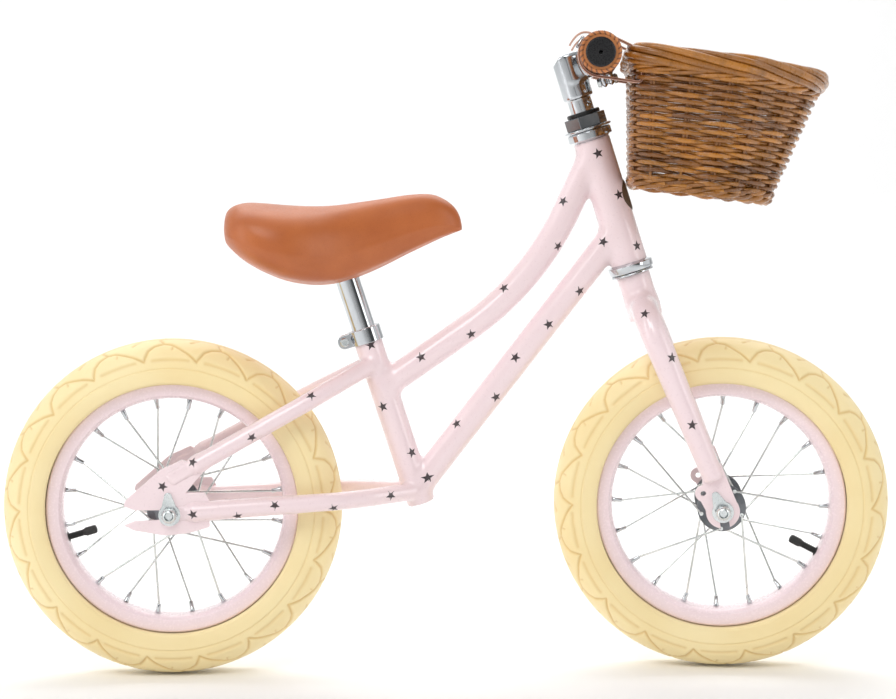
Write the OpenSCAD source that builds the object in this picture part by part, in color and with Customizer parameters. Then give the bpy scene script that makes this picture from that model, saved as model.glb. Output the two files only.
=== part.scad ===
/* [Wheels] */
// Outer diameter of a tyre
tyre_d = 312; // [290:1:320]
// Width of a tyre
tyre_w = 57; // [45:1:58]
// Outer diameter of a rim
rim_d = 229; // [220:1:232]
// Distance between the two axles
wheelbase = 510; // [505:1:515]
// Spokes in each wheel, half of them on each flange
spoke_count = 20; // [12:4:28]

/* [Steering] */
// Lean of the steering axis away from vertical, in degrees
head_angle = 17.6; // [16.5:0.1:18.5]
// Turn of the front end to the rider's right at rest, in degrees
steer_rest = 7.5; // [0:0.5:9]
// Distance of the front axle ahead of the steering axis
fork_rake = 15; // [12:1:18]
// Length of the head tube
head_len = 121; // [115:1:125]
// Handlebar length from end to end
bar_len = 400; // [360:5:440]
// Length of one grip
grip_len = 120; // [110:1:130]

/* [Saddle] */
// Lean of the seat tube away from vertical, in degrees
seat_angle = 18.1; // [17.5:0.1:18.5]
// Length of the seat tube
seat_tube_len = 172; // [168:1:176]

/* [Basket] */
// Width of the basket's rim
basket_w = 226; // [200:2:236]
// Depth of the basket's rim from back to front
basket_d = 192; // [170:2:200]
// Height of the basket
basket_h = 128; // [110:2:134]

/* [Hidden] */
$fn = 64;
eps = 0.01;

// Colours
pink = [0.95, 0.87, 0.88];
rim_pink = [0.93, 0.83, 0.86];
cream = [0.96, 0.87, 0.67];
steel = [0.78, 0.79, 0.80];
dark = [0.20, 0.20, 0.22];
zinc = [0.66, 0.70, 0.68];
leather = [0.75, 0.38, 0.19];
tan_strap = [0.78, 0.60, 0.52];
wicker = [0.62, 0.38, 0.16];

// Frame places, on the middle plane: [x, z]
head_foot = [168.7, 379.7];
seat_foot = [-25.4, 157.4];
top_bend = [18, 320.6];
down_foot = [-4.6, 203.1];
down_angle = 52.1;
top_angle = 34.6;
top_bend_r = 270;
top_bend_angle = 30.4;
rear_x = -wheelbase / 2;
axle_z = tyre_d / 2;

// Tube radii
head_r = 17;
head_bore_r = 15;
main_r = 12.7;
seat_tube_r = 13;
post_r = 11.1;
post_bore_r = post_r + 0.09;
stay_r = 8;
chain_bend_r = 26;
seat_bend_r = 30;
tube_wall = 1.6;

// Axles and hubs
axle_r = 4;
hub_half = 33;
flange_r = 22.5;
flange_y = 27.5;
drop_y = 50;
stay_slot_x = 36.3;
fork_drop_y = 47;
plate_t = 4;
spoke_r = 1;

// Steering stack, heights along the steering axis from the head tube's foot
steerer_r = 12.7;
quill_r = 11.05;
steerer_bore_r = quill_r + 0.09;
race_h = -9.5;
locknut_h = head_len + 11.5;
steerer_top = head_len + 25;
bar_a = 30;
bar_h = 190.5;
bar_r = 11.1;
grip_r = 17.5;
strap_y = 88;

// Front axle in the steering frame, placed so that the turned wheel stands on the ground
front_drop = (head_foot[1] - axle_z + fork_rake * cos(steer_rest) * sin(head_angle)) / cos(head_angle);
front_h = -front_drop;
eyelet = [fork_rake - 12.2, front_h + 21.4];

// Rim and tyre sections
rim_r = rim_d / 2;
rim_in_r = rim_r - 13.5;
rim_half = 16.5;
tyre_c = tyre_d / 2 - tyre_w / 2;
tyre_s = tyre_w / 2;

// ---- helpers -------------------------------------------------------------

// A straight rod between two points, with end radii r1 and r2
module rod(p, q, r1, r2) {
    d = q - p;
    len = norm(d);
    translate(p) rotate([0, acos(d[2] / len), atan2(d[1], d[0])]) cylinder(h = len, r1 = r1, r2 = r2);
}

// A rod from a to b that turns at the corner point bend, round a radius of bend_r
module bent_rod(a, bend, b, r, bend_r) {
    u = (bend - a) / norm(bend - a);
    v = (b - bend) / norm(b - bend);
    turn = acos(u * v);
    m = (v - (u * v) * u) / sin(turn);
    n = cross(u, m);
    run = bend_r * tan(turn / 2);
    c = bend - run * u + bend_r * m;
    rod(a, bend - run * u, r, r);
    rod(bend + run * v, b, r, r);
    multmatrix([[-m[0], u[0], n[0], c[0]], [-m[1], u[1], n[1], c[1]], [-m[2], u[2], n[2], c[2]]])
        rotate([0, 0, -0.03]) rotate_extrude(angle = turn + 0.06, $fn = 96)
            translate([bend_r, 0]) circle(r = r, $fn = 64);
}

// Points on an arc about c, from angle a0 to a1
function arc(c, r, a0, a1) =
    [for (i = [0 : 12]) c + r * [cos(a0 + (a1 - a0) * i / 12), sin(a0 + (a1 - a0) * i / 12)]];

// A cylinder along Y, centred on the middle plane or running from y0 to y1
module along_y(y0, y1, r) {
    translate([0, y0, 0]) rotate([-90, 0, 0]) cylinder(h = y1 - y0, r = r);
}

// The steering frame: local Z up the steering axis, local X forwards
module head_frame() {
    translate([head_foot[0], 0, head_foot[1]]) rotate([0, -head_angle, 0]) children();
}

// The steering frame, turned to its place at rest
module steered() {
    head_frame() rotate([0, 0, -steer_rest]) children();
}

// The seat tube's frame: local Z up the tube
module seat_frame() {
    translate([seat_foot[0], 0, seat_foot[1]]) rotate([0, -seat_angle, 0]) children();
}

// The bar's frame: origin on the bar's axis, level with the ground when the steering is straight
module bar_frame() {
    steered() translate([bar_a, 0, bar_h]) rotate([0, head_angle, 0]) children();
}

module front_axle_frame() {
    steered() translate([fork_rake, 0, front_h]) rotate([0, head_angle, 0]) children();
}

module rear_axle_frame() {
    translate([rear_x, 0, axle_z]) children();
}

// Mirrors a right-hand piece to the left when side is 1; the right is at negative Y
module on_side(side) {
    if (side < 0) {
        children();
    } else {
        mirror([0, 1, 0]) children();
    }
}

// A plate standing in the X-Z plane, between y0 and y0 + t
module upright(y0, t) {
    translate([0, y0 + t, 0]) rotate([90, 0, 0]) linear_extrude(height = t) children();
}

// ---- frame ---------------------------------------------------------------

module head_solid(r) {
    head_frame() cylinder(h = head_len, r = r);
}

module seat_solid(r) {
    seat_frame() cylinder(h = seat_tube_len, r = r);
}

module head_tube() {
    color(pink) difference() {
        head_solid(head_r);
        head_frame() translate([0, 0, -1]) cylinder(h = head_len + 2, r = head_bore_r);
    }
}

// Centre line of the top tube: straight from the seat tube, then bent up to the head tube
module top_pipe(r) {
    back = 97;
    ahead = 60;
    translate([top_bend[0], 0, top_bend[1]]) rotate([0, -top_angle, 0]) {
        rotate([0, -90, 0]) cylinder(h = back, r = r);
        translate([0, 0, top_bend_r]) rotate([90, 0, 0]) rotate([0, 0, -90])
            rotate_extrude(angle = top_bend_angle + 0.03, $fn = 96) translate([top_bend_r, 0]) circle(r = r, $fn = 64);
        translate([0, 0, top_bend_r]) rotate([0, -top_bend_angle, 0]) translate([0, 0, -top_bend_r])
            rotate([0, 90, 0]) cylinder(h = ahead, r = r);
    }
}

module top_tube() {
    color(pink) difference() {
        top_pipe(main_r);
        top_pipe(main_r - tube_wall);
        head_solid(head_r);
        seat_solid(seat_tube_r);
    }
}

module down_tube() {
    below = 42;
    above = 262;
    start = [down_foot[0] - below * cos(down_angle), 0, down_foot[1] - below * sin(down_angle)];
    end = [down_foot[0] + above * cos(down_angle), 0, down_foot[1] + above * sin(down_angle)];
    color(pink) difference() {
        rod(start, end, main_r, main_r);
        rod(start, end, main_r - tube_wall, main_r - tube_wall);
        head_solid(head_r);
        seat_solid(seat_tube_r);
    }
}

module seat_tube() {
    color(pink) difference() {
        seat_solid(seat_tube_r);
        seat_frame() translate([0, 0, -1]) cylinder(h = seat_tube_len + 2, r = post_bore_r);
    }
}

// Rear plate: two prongs around a slot that opens to the rear, with a tab for each stay
module rear_plate_outline() {
    difference() {
        polygon([
            [-8, 41], [-40, 13], [-41, 8], [-31, 4.2], [-31, -5.5], [-41, -9.5], [-32, -14],
            [-4, -19], [17, -17], [36, -11.5], [36, 13], [32, 20], [15, 20], [24, 31], [32, 40], [12, 50]
        ]);
        translate([-50, -4.2]) square([50, 8.4]);
        circle(r = 4.3);
    }
}

module rear_dropout(side) {
    on_side(side) rear_axle_frame() upright(-drop_y - plate_t / 2, plate_t) rear_plate_outline();
}

// The slot in a stay's end that the rear plate's tab sits in
module stay_slot() {
    rear_axle_frame() translate([-14, -drop_y - plate_t / 2, -20]) cube([stay_slot_x + 14, plate_t, 90]);
}

module chain_stay(side) {
    color(pink) on_side(side) difference() {
        bent_rod([-27, -6, 169.5], [-88, -40, 166.3], [-231, -drop_y, 158.6], stay_r, chain_bend_r);
        seat_solid(seat_tube_r);
        stay_slot();
    }
}

module seat_stay(side) {
    color(pink) on_side(side) difference() {
        bent_rod([-67, -6, 290], [-124, -36.5, 259.5], [-232, -drop_y, 200.5], stay_r, seat_bend_r);
        seat_solid(seat_tube_r);
        stay_slot();
    }
}

module head_badge() {
    color("saddlebrown") intersection() {
        difference() {
            head_solid(head_r + 1);
            head_solid(head_r);
        }
        head_frame() translate([0, 0, 62]) rotate([0, 90, 0]) cylinder(h = 40, r = 15);
    }
}

// ---- headset -------------------------------------------------------------

module headset_lower_cup() {
    color(steel) head_frame() difference() {
        union() {
            translate([0, 0, -6.7]) cylinder(h = 6.7, r = 21);
            cylinder(h = 8, r = head_bore_r);
        }
        translate([0, 0, -8]) cylinder(h = 20, r = 14);
        translate([0, 0, -8]) cylinder(h = 5.6, r = 19.2);
    }
}

module headset_upper_cup() {
    color(steel) head_frame() translate([0, 0, head_len]) difference() {
        union() {
            cylinder(h = 8.5, r = 20.5);
            translate([0, 0, -8]) cylinder(h = 8.5, r = head_bore_r);
        }
        translate([0, 0, -9]) cylinder(h = 20, r = 14);
        translate([0, 0, 3]) cylinder(h = 8, r = 18.5);
    }
}

module headset_bearings() {
    color(steel) head_frame() {
        ball_ring(-4.4, 17.1, 14, 1.98);
        ball_ring(head_len + 5, 16.4, 14, 1.98);
    }
}

module ball_ring(h, pitch_r, count, r) {
    for (k = [0 : count - 1]) rotate([0, 0, k * 360 / count]) translate([pitch_r, 0, h]) sphere(r = r, $fn = 24);
}

module crown_race() {
    color(steel) steered() translate([0, 0, race_h]) difference() {
        cylinder(h = 2.5, r = 20);
        translate([0, 0, -1]) cylinder(h = 5, r = steerer_r);
    }
}

module headset_top_race() {
    color(steel) steered() translate([0, 0, head_len + 9]) difference() {
        cylinder(h = 2.5, r = 22);
        translate([0, 0, -1]) cylinder(h = 5, r = steerer_r);
    }
}

module headset_locknut() {
    across_flats = 34;
    color(zinc) steered() translate([0, 0, locknut_h]) difference() {
        cylinder(h = 11, r = across_flats / 2 / cos(30), $fn = 6);
        translate([0, 0, -1]) cylinder(h = 13, r = steerer_r);
    }
}

module headset_seal() {
    color(dark) steered() translate([0, 0, locknut_h + 11]) difference() {
        cylinder(h = 4, r = 15.5);
        translate([0, 0, -1]) cylinder(h = 6, r = steerer_r);
    }
}

// ---- fork ----------------------------------------------------------------

module fork_steerer() {
    color(steel) steered() difference() {
        translate([0, 0, race_h]) cylinder(h = steerer_top - race_h, r = steerer_r);
        translate([0, 0, race_h + 4]) cylinder(h = steerer_top - race_h, r = steerer_bore_r);
    }
}

crown_r = 15.5;
crown_len = 40;
elbow_r = 35;
elbow_h = -76;
elbow_a = 4;
leg_tilt = 5.2;

module fork_crown() {
    color(pink) steered() {
        translate([0, 0, race_h - crown_len]) cylinder(h = crown_len, r = crown_r);
        translate([0, 0, race_h - crown_len - 4]) cylinder(h = 4, r1 = crown_r - 5, r2 = crown_r);
    }
}

// A leg: an elbow out of the crown, then a straight taper down to the end plate
module fork_leg(side) {
    top_r = 12.5;
    foot_r = 10;
    color(pink) steered() difference() {
        on_side(side) translate([elbow_a, -fork_drop_y, elbow_h]) rotate([0, -leg_tilt, 0]) {
            translate([0, elbow_r, 0]) rotate([0, -90, 0])
                rotate([0, 0, -90]) rotate_extrude(angle = 90, $fn = 64)
                    translate([elbow_r, 0]) circle(r = top_r, $fn = 64);
            rotate([180, 0, 0]) cylinder(h = elbow_h - front_h - 30, r1 = top_r, r2 = foot_r);
        }
        translate([0, 0, race_h - crown_len - 30]) cylinder(h = crown_len + 40, r = crown_r);
        fork_plate(side);
    }
}

// Fork end plate in the steering frame: axle eye, neck up to the leg and an eyelet tab
module fork_plate(side) {
    axle = [fork_rake, front_h];
    on_side(side) upright(-fork_drop_y - plate_t / 2, plate_t) difference() {
        polygon(concat(
            [axle + [11, 44], axle + [-7, 44]], arc(eyelet, 7.5, 80, 235), arc(axle, 15.5, 160, 380)
        ));
        translate([fork_rake, front_h]) circle(r = 4.3);
        translate([fork_rake, front_h]) rotate([0, 0, -8]) translate([-4.2, -30]) square([8.4, 30]);
        translate(eyelet) circle(r = 2.5);
    }
}

module fork_dropout(side) {
    color(pink) steered() fork_plate(side);
}

// ---- axles, nuts and washers ---------------------------------------------

// Threaded axle with a cone and a locknut on each side, between the end plates
module axle(plate_y, overhang) {
    inner = hub_half + 0.6;
    along_y(-plate_y - overhang, plate_y + overhang, axle_r);
    for (s = [-1, 1]) on_side(s) {
        along_y(-plate_y + plate_t / 2, -inner - 4, 7.5);
        along_y(-inner - 4, -inner, 9.5);
    }
}

module axle_nuts(plate_y) {
    outer = plate_y + plate_t / 2 + 2;
    for (s = [-1, 1]) on_side(s) difference() {
        union() {
            translate([0, -outer, 0]) rotate([90, 0, 0]) cylinder(h = 6, r = 7.5, $fn = 6);
            translate([0, -outer - 6, 0]) rotate([90, 0, 0]) cylinder(h = 3, r1 = 6.4, r2 = 4.2);
        }
        along_y(-outer - 7, -outer + 1, axle_r);
    }
}

// Teardrop washers whose hooked nose points up the slot
module hook_washers(plate_y, lean) {
    for (s = [-1, 1]) on_side(s) upright(-plate_y - plate_t / 2 - 2, 2) difference() {
        union() {
            circle(r = 10);
            rotate([0, 0, lean]) polygon([[-8.6, 5], [8.6, 5], [3.2, 17.2], [-3.2, 17.2]]);
            rotate([0, 0, lean]) translate([0, 17]) circle(r = 3.4);
        }
        circle(r = axle_r);
    }
}

module rear_axle() { color(zinc) rear_axle_frame() axle(drop_y, 10); }
module rear_axle_nuts() { color(zinc) rear_axle_frame() axle_nuts(drop_y); }
module rear_hook_washers() { color(zinc) rear_axle_frame() hook_washers(drop_y, 4); }
module front_axle() { color(zinc) front_axle_frame() axle(fork_drop_y, 10); }
module front_axle_nuts() { color(zinc) front_axle_frame() axle_nuts(fork_drop_y); }
module front_hook_washers() { color(zinc) front_axle_frame() hook_washers(fork_drop_y, 24); }

// ---- wheels --------------------------------------------------------------

module hub() {
    color(dark) difference() {
        union() {
            along_y(-hub_half, hub_half, 15);
            for (s = [-1, 1]) on_side(s) along_y(-flange_y - 1.5, -flange_y + 1.5, flange_r);
        }
        along_y(-hub_half - 1, hub_half + 1, 6);
        for (s = [-1, 1]) on_side(s) along_y(-hub_half - 1, -hub_half + 9, 12);
    }
}

// A sealed bearing in each end of the hub
module hub_bearings() {
    color(steel) for (s = [-1, 1]) on_side(s) difference() {
        along_y(-hub_half, -hub_half + 8.5, 12);
        along_y(-hub_half - 1, -hub_half + 10, axle_r + 0.08);
    }
}

// Spoke k runs from the outside or the inside of its flange to the rim, leading or trailing in turn
cross_angle = 54;
spoke_hole_r = 19.5;
function spoke_side(k) = k % 2 == 0 ? -1 : 1;
function spoke_lead(k) = floor(k / 2) % 2 == 0 ? 1 : -1;
function spoke_root(k, a0) =
    let (a = a0 + k * 360 / spoke_count + spoke_lead(k) * cross_angle)
    [spoke_hole_r * cos(a), spoke_side(k) * (flange_y + 2.6 * spoke_lead(k)), spoke_hole_r * sin(a)];
function spoke_tip(k, a0, r) =
    let (a = a0 + k * 360 / spoke_count)
    [r * cos(a), spoke_side(k) * (3 + (rim_in_r - r) * 0.3), r * sin(a)];

module spokes(a0) {
    color(steel) for (k = [0 : spoke_count - 1])
        rod(spoke_root(k, a0), spoke_tip(k, a0, rim_in_r - 9), spoke_r, spoke_r, $fn = 16);
}

module nipples(a0) {
    color(steel) for (k = [0 : spoke_count - 1])
        rod(spoke_tip(k, a0, rim_in_r - 9), spoke_tip(k, a0, rim_in_r), 1.9, 2.3, $fn = 16);
}

module rim(valve_angle) {
    color(rim_pink) difference() {
        rotate([90, 0, 0]) rotate_extrude($fn = 128) difference() {
            translate([rim_in_r, -rim_half]) square([rim_r - rim_in_r, 2 * rim_half]);
            translate([rim_in_r + 5.5, -rim_half + 2.2]) square([20, 2 * rim_half - 4.4]);
        }
        rotate([0, -valve_angle, 0]) translate([90, 0, 0]) rotate([0, 90, 0]) cylinder(h = 30, r = 4.3);
    }
}

bead_in = rim_r + 0.3;
module tyre_section() {
    wall = 3.5;
    difference() {
        translate([tyre_c, 0]) circle(r = tyre_s);
        translate([tyre_c, 0]) circle(r = tyre_s - wall);
        translate([bead_in - 60, -60]) square([60, 120]);
    }
    for (s = [-1, 1]) scale([1, s]) {
        translate([bead_in, 12]) square([3, 10.5]);
        translate([bead_in - 4, 12]) square([4 + eps, 2]);
    }
}

module tyre() {
    color(cream) rotate([90, 0, 0]) rotate_extrude($fn = 128) tyre_section();
}

// Inner tube with its valve, which comes out through the rim
module inner_tube(valve_angle) {
    outer = tyre_s - 3.8;
    floor_r = bead_in + 3.3;
    color(dark) {
        rotate([90, 0, 0]) rotate_extrude($fn = 128) difference() {
            intersection() {
                translate([tyre_c, 0]) circle(r = outer);
                translate([floor_r, -60]) square([60, 120]);
            }
            intersection() {
                translate([tyre_c, 0]) circle(r = outer - 1.5);
                translate([floor_r + 1.5, -60]) square([60, 120]);
            }
        }
        rotate([0, -valve_angle, 0]) translate([74, 0, 0]) rotate([0, 90, 0]) {
            cylinder(h = floor_r - 74 + 0.5, r = 3);
            cylinder(h = 12, r = 4);
        }
    }
}

rear_spoke_angle = 9;
rear_valve_angle = 196;
front_spoke_angle = -1;
front_valve_angle = -27;

module rear_hub() { rear_axle_frame() hub(); }
module rear_hub_bearings() { rear_axle_frame() hub_bearings(); }
module rear_spokes() { rear_axle_frame() spokes(rear_spoke_angle); }
module rear_nipples() { rear_axle_frame() nipples(rear_spoke_angle); }
module rear_rim() { rear_axle_frame() rim(rear_valve_angle); }
module rear_inner_tube() { rear_axle_frame() inner_tube(rear_valve_angle); }
module rear_tyre() { rear_axle_frame() tyre(); }
module front_hub() { front_axle_frame() hub(); }
module front_hub_bearings() { front_axle_frame() hub_bearings(); }
module front_spokes() { front_axle_frame() spokes(front_spoke_angle); }
module front_nipples() { front_axle_frame() nipples(front_spoke_angle); }
module front_rim() { front_axle_frame() rim(front_valve_angle); }
module front_inner_tube() { front_axle_frame() inner_tube(front_valve_angle); }
module front_tyre() { front_axle_frame() tyre(); }

// ---- stem and handlebar --------------------------------------------------

quill_foot = 62;
stem_body_h = 160;
clamp_r = 17.5;
clamp_half = 17;

module stem() {
    color(steel) steered() difference() {
        union() {
            translate([0, 0, quill_foot]) cylinder(h = stem_body_h - quill_foot + 1, r = quill_r);
            translate([0, 0, stem_body_h]) cylinder(h = 42, r = 14);
            translate([0, -12, bar_h - 15]) cube([bar_a, 24, 26]);
            translate([bar_a, 0, bar_h]) along_y(-clamp_half, clamp_half, clamp_r);
            translate([bar_a - 6, -clamp_half + 3, bar_h - 28]) cube([12, 2 * clamp_half - 6, 16]);
        }
        translate([bar_a, 0, bar_h]) along_y(-clamp_half - 1, clamp_half + 1, bar_r);
        translate([bar_a - 1, -clamp_half - 1, bar_h - 30]) cube([2, 2 * clamp_half + 2, 30]);
        translate([bar_a - 20, 0, bar_h - 23]) rotate([0, 90, 0]) cylinder(h = 40, r = 2.55);
        translate([0, 0, quill_foot - 1]) cylinder(h = 160, r = 4.1);
        translate([0, 0, 196]) cylinder(h = 10, r = 7);
        translate([-14, -20, 192]) rotate([0, 40, 0]) translate([-30, 0, 0]) cube([30, 40, 30]);
    }
}

// Long draw bolt with its wedge below the quill
module stem_expander() {
    color(zinc) steered() {
        translate([0, 0, quill_foot - 24]) cylinder(h = 197 - quill_foot + 23, r = 4);
        translate([0, 0, 196]) difference() {
            cylinder(h = 5.5, r = 6.6);
            translate([0, 0, 2]) cylinder(h = 5, r = 3.2, $fn = 6);
        }
        translate([0, 0, quill_foot - 25]) cylinder(h = 24.6, r = 10.6);
    }
}

module stem_pinch_bolt() {
    color(zinc) steered() translate([bar_a, 0, bar_h - 23]) rotate([0, 90, 0]) {
        translate([0, 0, -9]) cylinder(h = 18, r = 2.5);
        translate([0, 0, 6]) cylinder(h = 4, r = 4.5);
        translate([0, 0, -9.5]) cylinder(h = 3.5, r = 4.5, $fn = 6);
    }
}

module handlebar() {
    color(steel) bar_frame() difference() {
        along_y(-bar_len / 2, bar_len / 2, bar_r);
        along_y(-bar_len / 2 - 1, bar_len / 2 + 1, bar_r - tube_wall);
    }
}

module grip(side) {
    color(leather) bar_frame() on_side(side) difference() {
        union() {
            along_y(-bar_len / 2, -bar_len / 2 + grip_len, grip_r - 1);
            along_y(-bar_len / 2, -bar_len / 2 + 5, grip_r);
            along_y(-bar_len / 2 + grip_len - 5, -bar_len / 2 + grip_len, grip_r);
        }
        along_y(-bar_len / 2 - 1, -bar_len / 2 + grip_len + 1, bar_r);
    }
}

module grip_plugs() {
    color(dark) bar_frame() for (s = [-1, 1]) on_side(s) difference() {
        union() {
            along_y(-bar_len / 2 - 2.5, -bar_len / 2, 12.5);
            along_y(-bar_len / 2 - 1, -bar_len / 2 + 12, bar_r - tube_wall);
        }
        along_y(-bar_len / 2 - 4, -bar_len / 2 + 6, 1.8);
    }
}

// ---- basket --------------------------------------------------------------

basket_gap = 20;
basket_pitch = 7;
basket_roll = 3;
basket_drop = 8;
basket_wall = 7;
basket_floor = 9;
foot_w = 152;
foot_d = 130;
back_lean = 22;
rim_band = 20;

// A flat-backed, round-fronted outline, w wide and d deep, with its back on x = 0
module d_outline(w, d) {
    corner = 22;
    hull() {
        for (s = [-1, 1]) translate([corner, s * (w / 2 - corner)]) circle(r = corner, $fn = 32);
        translate([d - w * 0.42, 0]) scale([1, 1]) intersection() {
            circle(r = w * 0.42, $fn = 64);
            translate([0, -w]) square([w, 2 * w]);
        }
        for (s = [-1, 1]) translate([d * 0.52, s * (w / 2 - 30)]) circle(r = 30, $fn = 32);
    }
}

module d_slab(w, d, x, z, t) {
    translate([x, 0, z]) linear_extrude(height = t) d_outline(w, d);
}

module basket_frame() {
    bar_frame() translate([basket_gap, 0, basket_drop]) rotate([-basket_roll, basket_pitch, 0]) children();
}

module basket() {
    color(wicker) basket_frame() difference() {
        union() {
            hull() {
                d_slab(basket_w - 12, basket_d - 12, 6, -rim_band, 1);
                d_slab(foot_w, foot_d, back_lean, -basket_h, 1);
            }
            d_slab(basket_w, basket_d, 0, -rim_band, rim_band);
        }
        hull() {
            d_slab(basket_w - 12 - 2 * basket_wall, basket_d - 12 - 2 * basket_wall, 6 + basket_wall, -rim_band, 1);
            d_slab(foot_w - 2 * basket_wall, foot_d - 2 * basket_wall, back_lean + basket_wall,
                -basket_h + basket_floor, 1);
        }
        d_slab(basket_w - 30, basket_d - 30, 15, -rim_band - 1, rim_band + 2);
    }
}

// Two leather straps, each a loop round a grip and through the basket's back wall
strap_t = 2.6;
strap_w = 13;

module strap_outline(grow) {
    hull() {
        circle(r = grip_r + 0.1 + grow);
        translate([33, 2]) circle(r = 2.4 + grow, $fn = 32);
        translate([33, -14]) circle(r = 2.4 + grow, $fn = 32);
    }
}

module basket_straps() {
    color(tan_strap) bar_frame() for (s = [-1, 1]) on_side(s) {
        upright(-strap_y - strap_w / 2, strap_w) difference() {
            strap_outline(strap_t);
            strap_outline(0);
        }
    }
}

module strap_buckles() {
    color(steel) bar_frame() for (s = [-1, 1]) on_side(s) rotate([0, -58, 0])
        translate([0, -strap_y, grip_r + strap_t - 0.6]) difference() {
            translate([-5.5, -9.5, 0]) cube([11, 19, 2]);
            translate([-3.5, -7.5, -1]) cube([7, 15, 4]);
        }
}

// ---- saddle --------------------------------------------------------------

module seat_clamp() {
    ear = 13;
    color(steel) seat_frame() translate([0, 0, seat_tube_len - 14]) difference() {
        union() {
            cylinder(h = 14, r = seat_tube_r + 2.2);
            translate([-seat_tube_r - ear, -5.5, 0]) cube([ear + 2, 11, 14]);
        }
        translate([0, 0, -1]) cylinder(h = 16, r = seat_tube_r);
        translate([-seat_tube_r - ear - 1, -1.5, -1]) cube([ear + 4, 3, 16]);
        translate([-seat_tube_r - 7.5, 10, 7]) rotate([90, 0, 0]) cylinder(h = 20, r = 2.6);
    }
}

module seat_clamp_bolt() {
    color(zinc) seat_frame() translate([-seat_tube_r - 7.5, 0, seat_tube_len - 7]) rotate([90, 0, 0]) {
        translate([0, 0, -9]) cylinder(h = 15, r = 2.55);
        translate([0, 0, 5.5]) difference() {
            cylinder(h = 3.5, r = 4.2);
            translate([0, 0, 1.5]) cylinder(h = 3, r = 2, $fn = 6);
        }
        translate([0, 0, -9.5]) cylinder(h = 4, r = 4.4, $fn = 6);
    }
}

post_low = 45;
post_top = 222;

module seat_post() {
    color(steel) seat_frame() difference() {
        translate([0, 0, post_low]) cylinder(h = post_top - post_low, r = post_r);
        translate([0, 0, post_low - 1]) cylinder(h = post_top - post_low - 5, r = post_r - 1.5);
    }
}

module saddle_clamp() {
    color(dark) difference() {
        seat_frame() translate([0, 0, post_top - 9]) cylinder(h = 18, r = 16);
        seat_frame() translate([0, 0, post_top - 13]) cylinder(h = 13, r = post_r);
    }
}

// Stations along the saddle: x, low edge z, high edge z, half width
saddle_stations = [
    [-206, 408, 418, 14], [-203.5, 398, 428, 38], [-197, 390, 434, 54], [-186, 381, 437, 64],
    [-170, 372, 436.8, 70], [-150, 364, 435.4, 70], [-128, 360, 434.6, 62], [-108, 360.5, 435.2, 50],
    [-86, 366, 437.8, 40], [-62, 376, 441, 32], [-38, 388, 444.3, 26], [-18, 397.5, 444.8, 22],
    [-6, 403, 441, 18.5], [4, 407, 434, 14], [9.5, 409, 426, 10], [12, 411, 417, 5]
];
ring_n = 24;

// Ring points of a station: a full, rounded top and a flatter underside
function saddle_ring(s) = [
    for (k = [0 : ring_n - 1])
        let (a = k * 360 / ring_n, mid = s[1] + (s[2] - s[1]) * 0.42)
        [s[0], s[3] * sign(cos(a)) * pow(abs(cos(a)), 0.8),
            sin(a) >= 0 ? mid + (s[2] - mid) * pow(sin(a), 0.85) : mid - (mid - s[1]) * pow(-sin(a), 0.85)]
];

module saddle_solid() {
    n = len(saddle_stations);
    pts = [for (s = saddle_stations) each saddle_ring(s)];
    sides = [
        for (i = [0 : n - 2]) for (k = [0 : ring_n - 1])
            let (j = (k + 1) % ring_n)
            [i * ring_n + k, i * ring_n + j, (i + 1) * ring_n + j, (i + 1) * ring_n + k]
    ];
    ends = [[for (k = [ring_n - 1 : -1 : 0]) k], [for (k = [0 : ring_n - 1]) (n - 1) * ring_n + k]];
    polyhedron(points = pts, faces = concat(sides, ends), convexity = 4);
}

module base_block() {
    translate([-165, -40, 374]) cube([88, 80, 10]);
    translate([-78, -15, 380]) cube([28, 30, 8]);
}

module saddle_base() {
    color(dark) difference() {
        base_block();
        seat_frame() translate([0, 0, post_top - 13]) cylinder(h = 22, r = 16);
    }
}

module saddle_cover() {
    color(leather) difference() {
        saddle_solid();
        base_block();
        seat_frame() translate([0, 0, post_top - 60]) cylinder(h = 69, r = 16);
    }
}

module chain_stay_right() { chain_stay(-1); }
module chain_stay_left() { chain_stay(1); }
module seat_stay_right() { seat_stay(-1); }
module seat_stay_left() { seat_stay(1); }
module rear_dropout_right() { color(pink) rear_dropout(-1); }
module rear_dropout_left() { color(pink) rear_dropout(1); }
module fork_leg_right() { fork_leg(-1); }
module fork_leg_left() { fork_leg(1); }
module fork_dropout_right() { fork_dropout(-1); }
module fork_dropout_left() { fork_dropout(1); }
module grip_right() { grip(-1); }
module grip_left() { grip(1); }

head_tube();
top_tube();
down_tube();
seat_tube();
chain_stay_right();
chain_stay_left();
seat_stay_right();
seat_stay_left();
rear_dropout_right();
rear_dropout_left();
head_badge();
headset_lower_cup();
headset_upper_cup();
headset_bearings();
seat_clamp();
seat_clamp_bolt();
rear_axle();
rear_axle_nuts();
rear_hook_washers();
fork_steerer();
crown_race();
fork_crown();
fork_leg_right();
fork_leg_left();
fork_dropout_right();
fork_dropout_left();
headset_top_race();
headset_locknut();
headset_seal();
front_axle();
front_axle_nuts();
front_hook_washers();
rear_hub();
rear_hub_bearings();
rear_spokes();
rear_nipples();
rear_rim();
rear_inner_tube();
rear_tyre();
front_hub();
front_hub_bearings();
front_spokes();
front_nipples();
front_rim();
front_inner_tube();
front_tyre();
stem();
stem_expander();
stem_pinch_bolt();
handlebar();
grip_right();
grip_left();
grip_plugs();
basket();
basket_straps();
strap_buckles();
seat_post();
saddle_clamp();
saddle_base();
saddle_cover();
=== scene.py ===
import math
import bmesh
import bpy
import numpy as np
from mathutils import Matrix, Vector


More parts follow.
